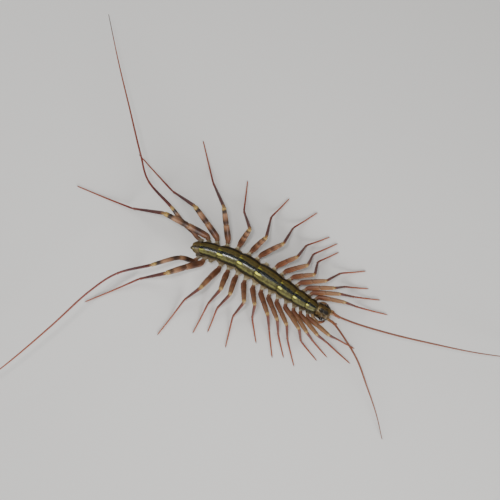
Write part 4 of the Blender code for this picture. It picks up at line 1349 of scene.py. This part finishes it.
# %% [markdown]
# The head is tan-olive, with a darker mesh of lines, two dark spots on its middle line, dark cheeks and
# pale rings round the eyes and the feet of the feelers. These marks could be painted on an image. The
# numbers that shaped the head tint it instead, so marks and shapes meet: each mask is worked out for every
# vertex and stored as an attribute that the finish reads.

# %% Head finish
forward, aside, up = body_numbers(head)
front, wide = HEAD_FRONT - forward, np.abs(aside)
top = rising(up, HEAD_Z, 0.4)
# Dark are two spots on the middle line with a bridge between them, a fleck on each side, and the cheeks.
dark = 1.1 * soft(front - 1.88, 0.44) * soft(aside, 0.4) * top
dark += 1.1 * soft(front - 0.82, 0.36) * soft(aside, 0.36) * top
dark += 0.4 * soft(front - 1.3, 0.5) * soft(aside, 0.4) * top
dark += 0.6 * soft(wide - 0.62, 0.12) * soft(front - 1.1, 0.28) * top
dark += 0.7 * soft(wide - 1.2, 0.22) * rising(front, 1.6, 0.5)
# Pale are a line before the neck, a bow behind the rear spot, which is a painted highlight, and a stroke
# on each side of the front one.
pale = 0.8 * soft(front - 2.62, 0.07) * falling(wide, 0.9, 0.4) * top
pale += soft(np.hypot(front - 1.88, aside) - 0.6, 0.09) * rising(front, 1.8, 0.5) * top
pale += 0.5 * soft(wide - 0.36, 0.08) * soft(front - 1.05, 0.25) * top
# Each eye has a dark ring with a pale one outside it, each feeler a pale one with a dark one outside it.
for side in (1, -1):
    far = eye_distance(side)
    dark += soft(far - 1.3, 0.16) + socket_ring(side, 0.5, 0.07)
    pale += 0.6 * soft(far - 1.62, 0.1) * falling(front, 1.6, 0.6) + socket_ring(side, 0.34, 0.07)
store(head, "dark", np.clip(dark, 0, 1))
store(head, "pale", np.clip(pale, 0, 1))


def head_material():
    material, tree, shader = chitin("head_chitin", coat_roughness=0.16, glow=0.03, gloss=0.25)
    cloud, fine, grain = noise(tree, 0.3), noise(tree, 0.06, 4.0), noise(tree, 0.13)
    colour = mix(cloud.step(0.35, 0.65), "402f10", "5a451f")
    colour = mix(grain.step(0.48, 0.66) * 0.5, colour, "2a1f0a")
    # The pale marks include the bow behind the rear spot, which is a painted highlight.
    pale = attribute(tree, "pale") + (grain - 0.5) * 0.4
    colour = mix(pale.step(0.25, 0.9) * 0.7, colour, "8c7a48")
    dark = attribute(tree, "dark") + (grain - 0.5) * 0.5
    colour = mix(dark.step(0.25, 0.6) * 0.94, colour, "0f0b06")
    colour = mix(fine.step(0.6, 0.75) * 0.2, colour, "a8945c")
    dress(tree, shader, colour, 0.36 + 0.25 * grain, grain + 0.6 * fine, 0.04)
    return material


head.data.materials.append(head_material())
print("darkest and palest:", round(float(dark.max()), 2), round(float(pale.max()), 2))

# %% [markdown]
# House centipedes are the only centipedes with eyes like an insect's: domes of hundreds of tiny lenses.
# A bump in the finish could hint at them, but close up the outline would stay smooth. So a tree sets one
# small bead on each point of the dome.

# %% The lens tree
def plant(tree, points, thing, direction, size=(1.0, 1.0, 1.0)):
    """A copy of a thing on each point, with its Z axis along the direction."""
    facing = add(tree, "FunctionNodeAlignRotationToVector", {"Vector": direction}, axis="Z")
    return add(tree, "GeometryNodeInstanceOnPoints",
               {"Points": points, "Instance": thing, "Rotation": facing, "Scale": size})


LENS_RADIUS, LENS_SINK = 0.036, 0.02
facet_tree, at = new_tree("Facets", (("Lens Radius", FLOAT), ("Lens Sink", FLOAT), ("Material", STUFF)))
bead = add(facet_tree, "GeometryNodeMeshUVSphere",
           {"Segments": 8, "Rings": 6, "Radius": at["Lens Radius"]})
deep = scaled(facet_tree, add(facet_tree, "GeometryNodeInputNormal"), 0 - at["Lens Sink"])
seats = add(facet_tree, "GeometryNodeSetPosition", {"Geometry": at["Geometry"], "Offset": deep})
beads = plant(facet_tree, seats, bead, add(facet_tree, "GeometryNodeInputNormal"))
whole = facet_tree.nodes.new("GeometryNodeJoinGeometry")
facet_tree.links.new(at["Geometry"].socket, whole.inputs[0])
facet_tree.links.new(beads.socket, whole.inputs[0])
close_tree(facet_tree, Wire(facet_tree, whole, whole.outputs[0]), at["Material"])
print("lens tree nodes:", len(facet_tree.nodes))

# %% [markdown]
# Each dome is the outer part of a squashed ball, turned a little outwards and sunk in the hollow of the
# head. A UV sphere would crowd its points at the poles. An icosphere spreads them evenly, as the lenses
# of a real eye are. The finish is nearly black under a clear, hard coat.

# %% Compound eyes
def eye_material():
    material, tree, shader = chitin("eye_lens", coat=0.8, coat_roughness=0.06)
    cloud = noise(tree, 0.3)
    dress(tree, shader, mix(cloud.step(0.35, 0.65), "070508", "1c1214"), 0.2 + 0.1 * cloud)
    return material


EYE_LENS = eye_material()
eyes = {}
for side, word in BOTH_SIDES:
    bm = bmesh.new()
    bmesh.ops.create_icosphere(bm, subdivisions=4, radius=1.0)
    turn = Matrix.Rotation(eye_turn(side), 3, "Z")
    for vert in bm.verts:
        vert.co = eye_centre(side) + turn @ Vector(a * b for a, b in zip(vert.co, EYE_SIZE))
    outward = [side * (turn.transposed() @ (vert.co - eye_centre(side))).y for vert in bm.verts]
    inner = [vert for vert, out in zip(bm.verts, outward) if out < -0.1]
    bmesh.ops.delete(bm, geom=inner, context="VERTS")
    bmesh.ops.holes_fill(bm, edges=bm.edges)
    bm.verts.index_update()
    dome = [tuple(vert.co) for vert in bm.verts]
    faces = [tuple(vert.index for vert in face.verts) for face in bm.faces]
    bm.free()
    eyes[side] = new_piece("eye_dome_" + word, dome, faces)
    run_tree(eyes[side], facet_tree, lens_radius=LENS_RADIUS * MM, lens_sink=LENS_SINK * MM,
             material=EYE_LENS)
print("an eye has", len(eyes[1].data.polygons), "faces")

# %% [markdown]
# Short stiff spines stand on the corners of every leg, and fine bristles on the feet, the feelers, the
# mouth's limbs, the head and the plates. Hair curves could do it, but the export wouldn't keep them. So a
# tree scatters points over a finished piece from a fixed seed and sets a thin cone on each, leaning
# between the skin's normal and the way to the tip.

# %% The bristle tree
bristle_tree, at = new_tree("Bristles", (("Density", FLOAT), ("Length", FLOAT), ("Width", FLOAT),
                                         ("Lean", FLOAT), ("From Article", FLOAT), ("To Article", FLOAT),
                                         ("From Keel", FLOAT), ("Seed", WHOLE), ("Material", STUFF)))
count = named(bristle_tree, "article")
chosen = (count > at["From Article"]) * (1 - (count > at["To Article"]))
chosen = chosen * (named(bristle_tree, "keel") > at["From Keel"])
scatter = add(bristle_tree, "GeometryNodeDistributePointsOnFaces",
              {"Mesh": at["Geometry"], "Selection": chosen, "Density": at["Density"], "Seed": at["Seed"]},
              distribute_method="RANDOM")
lean = scaled(bristle_tree, named(bristle_tree, "along", "FLOAT_VECTOR"), at["Lean"])
aim = add(bristle_tree, "ShaderNodeVectorMath", {0: scatter.out("Normal"), 1: lean}, operation="ADD")
size = add(bristle_tree, "FunctionNodeRandomValue", {2: 0.6, 3: 1.25}, output=1, data_type="FLOAT")
spike = add(bristle_tree, "GeometryNodeMeshCone",
            {"Vertices": 4, "Radius Top": 0.0, "Radius Bottom": at["Width"], "Depth": at["Length"]},
            fill_type="NONE")
close_tree(bristle_tree, plant(bristle_tree, scatter, spike, aim, size), at["Material"])
print("bristle tree nodes:", len(bristle_tree.nodes))

# %% [markdown]
# The spines are coarse and dark, the bristles so fine that they only blur the outline. Each kind could be
# thousands of objects. Joined they are one piece for each side or part, which is easier to handle. What
# sets the kinds apart is only how dense, long and wide they are and where they grow.

# %% Spines and bristles
def spine_material():
    material, tree, shader = chitin("spine_chitin", coat=0.2, coat_roughness=0.3)
    cloud = noise(tree, 0.4)
    dress(tree, shader, mix(cloud.step(0.35, 0.65), "24100a", "5a3018"), 0.4 + 0.15 * cloud)
    return material


SPINE_CHITIN = spine_material()


def bristle(carriers, name, density, length, width, lean, articles, from_keel=-1.0):
    """Scatter bristles over several finished pieces and join them as one new piece.

    density is for each square metre, length and width are in millimetres, articles is the stretch of the
    article count that bears them. Pieces that aren't limbs have no count, so it reads as 0 there.
    """
    made = []
    for seed, carrier in enumerate(carriers, start=1):
        copy = put(carrier.name, carrier.data.copy())
        run_tree(copy, bristle_tree, seed=seed, material=SPINE_CHITIN, density=density, lean=lean,
                 length=length * MM, width=width * MM, from_article=articles[0], to_article=articles[1],
                 from_keel=from_keel)
        made.append(copy)
    with bpy.context.temp_override(active_object=made[0], selected_editable_objects=made,
                                   selected_objects=made):
        bpy.ops.object.join()
    made[0].name = name
    made[0].data.materials.clear()
    made[0].data.materials.append(SPINE_CHITIN)
    return made[0]


spines = []
for side, word in BOTH_SIDES:
    some = [leg for (leg_side, _), leg in legs.items() if leg_side == side]
    spines.append(bristle(some, "leg_spines_" + word, density=2.2e7, length=0.13, width=0.016, lean=1.6,
                          articles=(1.05, 4.0), from_keel=0.3))
    spines.append(bristle(some, "foot_bristles_" + word, density=9.0e6, length=0.17, width=0.009,
                          lean=1.8, articles=(4.0, 6.4)))
mouth_limbs = list(claws.values()) + list(palps.values()) + lobes
spines.append(bristle(feelers.values(), "feeler_bristles", density=1.4e7, length=0.11, width=0.007,
                      lean=1.5, articles=(0.3, 6.6)))
spines.append(bristle(mouth_limbs, "mouth_bristles", density=1.6e7, length=0.2, width=0.009,
                      lean=1.2, articles=(0.8, 4.2)))
spines.append(bristle(plates + [head], "shell_bristles", density=5.0e6, length=0.09, width=0.008,
                      lean=0.0, articles=(-1.0, 1.0)))
print("spine faces:", [len(piece.data.polygons) for piece in spines])

# %% [markdown]
# Every long article of a leg ends in a few stout spurs that point on down the leg, two below and one
# above. The bristle tree would scatter them at random, but they have fixed places. So each is a slender
# curved cone of its own, whose foot is sunk in the collar of its joint, and the places come from the
# polylines that made the legs.

# %% Spurs at the joints
SPURS = ((1.94, 0.34), (2.92, 0.46), (3.92, 0.5))
SPUR_ANGLES = (-48.0, 48.0, 172.0)
SPUR_WIDTH, SPUR_ROWS, SPUR_SIDES = 0.042, 5, 6


def spur(root, out, ahead, length):
    """Points and faces of one cone that leaves its root outwards and curves ahead."""
    across = out.cross(ahead).normalized()
    rows = []
    for k in range(SPUR_ROWS):
        t = k / (SPUR_ROWS - 1)
        middle = root + length * (t * 0.9 * ahead + (0.62 * t - 0.3 * t * t) * out)
        width = SPUR_WIDTH * (1 - t) ** 0.7 + 0.003
        for j in range(SPUR_SIDES):
            turn = math.tau * j / SPUR_SIDES
            rows.append(middle + width * (math.cos(turn) * across + math.sin(turn) * out))
    return rows, tube_faces(SPUR_ROWS, SPUR_SIDES)


def leg_spurs(side, word):
    """One piece with the spurs of all legs of a side."""
    parts = []
    for leg_side, pair in legs:
        if leg_side != side:
            continue
        points, count, thick = limb_points["limb_%s_%02d" % (word, pair)]
        for share, length in SPURS:
            i = int(np.argmin(np.abs(count - share)))
            ahead = Vector(points[i + 1] - points[i - 1]).normalized()
            below = Vector((0.0, 0.0, -1.0))
            below = (below - below.dot(ahead) * ahead).normalized()
            for angle in SPUR_ANGLES:
                out = Matrix.Rotation(math.radians(angle), 3, ahead) @ below
                root = Vector(points[i]) + out * float(thick[i]) * 0.8
                parts.append(spur(root, out, ahead, length))
    thing = new_piece("leg_spurs_" + word, *joined(parts))
    point_outwards(thing)
    thing.data.materials.append(SPINE_CHITIN)
    return thing


spurs = [leg_spurs(side, word) for side, word in BOTH_SIDES]
print("spur faces:", [len(piece.data.polygons) for piece in spurs])

# %% [markdown]
# Every piece now rides on the model's body, and the CAD nodes that it stands for are hidden. This could be
# done where each piece is made. In one place it can be read like a parts list.

# %% Tie the pieces to the model
def settle(thing, slot, *nodes):
    """Let a finished piece ride on the model and hide the CAD nodes it stands for. slot is not used."""
    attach(thing, "root")
    if nodes:
        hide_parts(*nodes)


for (side, pair), leg in legs.items():
    settle(leg, "leg", "leg_%s_%02d" % (dict(BOTH_SIDES)[side], pair))
for side, word in BOTH_SIDES:
    settle(feelers[side], "feeler", "antenna_" + word)
    settle(claws[side], "mouthpart", "forcipule_" + word)
    settle(palps[side], "mouthpart", "palp_" + word)
    settle(eyes[side], "eye", "eye_" + word)
for plate in plates:
    settle(plate, "body_plate")
settle(skin, "body_plate", "telson", *["trunk_%d" % n for n in range(1, PLATES + 1)])
settle(head, "head_shell", "head")
settle(belly, "body_plate")
for lobe in lobes:
    settle(lobe, "mouthpart")
for piece in spines + spurs:
    settle(piece, "leg")
paired = [piece for pair in (feelers, claws, palps, eyes) for piece in pair.values()]
print("pieces:", len(legs) + len(paired + plates + lobes + spines + spurs) + len((skin, head, belly)))

# %% [markdown]
# The model is shown on a plain pale floor. A curved backdrop would do too, but the camera looks nearly
# straight down and sees only the floor.

# %% Floor
def stage_floor(half):
    """A square floor, given by half its side in metres."""
    mesh = bpy.data.meshes.new("floor")
    mesh.from_pydata([(-half, -half, 0), (half, -half, 0), (half, half, 0), (-half, half, 0)], [],
                     [(0, 1, 2, 3)])
    material = bpy.data.materials.new("pale_floor")
    material.use_nodes = True
    shader = material.node_tree.nodes["Principled BSDF"]
    shader.inputs["Base Color"].default_value = (0.72, 0.71, 0.69, 1.0)
    shader.inputs["Roughness"].default_value = 0.8
    mesh.materials.append(material)
    put("floor", mesh)


stage_floor(3.0)

# %% [markdown]
# The photo looks down on the animal from about ten centimetres, leaning a little back. The camera could
# be set by eye, but a view so close bends long legs in its own way. So its distance and focal length were
# fitted to the photo. The animal lies turned in it, and the camera is turned the other way over the model.

# %% Camera
PHOTO_TURN = 27.5
PHOTO_MIDDLE = (2.32, -5.155)
CAMERA_TILT, CAMERA_DISTANCE, LOOK_HEIGHT = 12.0, 105.7, 3.0
FOCAL_PIXELS, PHOTO_PIXELS = 536.0, 500.0


def photo_turned(x, y, z):
    """A direction given along the photo's right, up and depth, in the body's frame."""
    return Matrix.Rotation(math.radians(PHOTO_TURN), 3, "Z") @ Vector((x, y, z))


tilt = math.radians(CAMERA_TILT)
back = photo_turned(0.0, -math.sin(tilt), math.cos(tilt))
right = photo_turned(1.0, 0.0, 0.0)
aim = photo_turned(-PHOTO_MIDDLE[0], -PHOTO_MIDDLE[1], LOOK_HEIGHT)
spot = Vector(to_row([aim + back * CAMERA_DISTANCE])[0])
camera_data = bpy.data.cameras.new("camera")
camera_data.sensor_width = 36.0
camera_data.lens = camera_data.sensor_width * FOCAL_PIXELS / PHOTO_PIXELS
camera_data.clip_start = 0.001
camera = put("camera", camera_data)
turn = Matrix((right, back.cross(right), back)).transposed()
camera.matrix_world = Matrix.Translation(spot) @ turn.to_4x4()
bpy.context.scene.camera = camera
print("camera at, mm:", [round(v / MM, 1) for v in spot])

# %% [markdown]
# The light is that of a small studio. A soft lamp stands low on the side of the camera's lower right and
# gives the sheen on that side of the back, and a wide dim one opposite fills the shadows. A lamp large in
# the sky would lie as a grey veil over the glossy plates, so there is none: only a small one close to the
# camera, whose mirror image is the row of glints on the middle stripe.

# %% Light
def lamp(name, right, up, depth, size, power):
    """A square area lamp at a place told along the photo's right, up and depth, in metres."""
    light = bpy.data.lights.new(name, "AREA")
    light.shape = "SQUARE"
    light.size = size
    light.energy = power
    thing = put(name, light)
    thing.location = photo_turned(right, up, depth)
    thing.rotation_euler = thing.location.to_track_quat("Z", "Y").to_euler()


lamp("key", 0.16, -0.36, 0.14, 0.26, 2.7)
lamp("fill", -0.3, 0.25, 0.26, 0.3, 1.2)
lamp("glint", -0.0115, -0.005, 0.133, 0.014, 0.06)
world = bpy.data.worlds.new("studio")
world.use_nodes = True
world.node_tree.nodes["Background"].inputs["Color"].default_value = (1.0, 0.99, 0.97, 1.0)
world.node_tree.nodes["Background"].inputs["Strength"].default_value = 0.25
bpy.context.scene.world = world
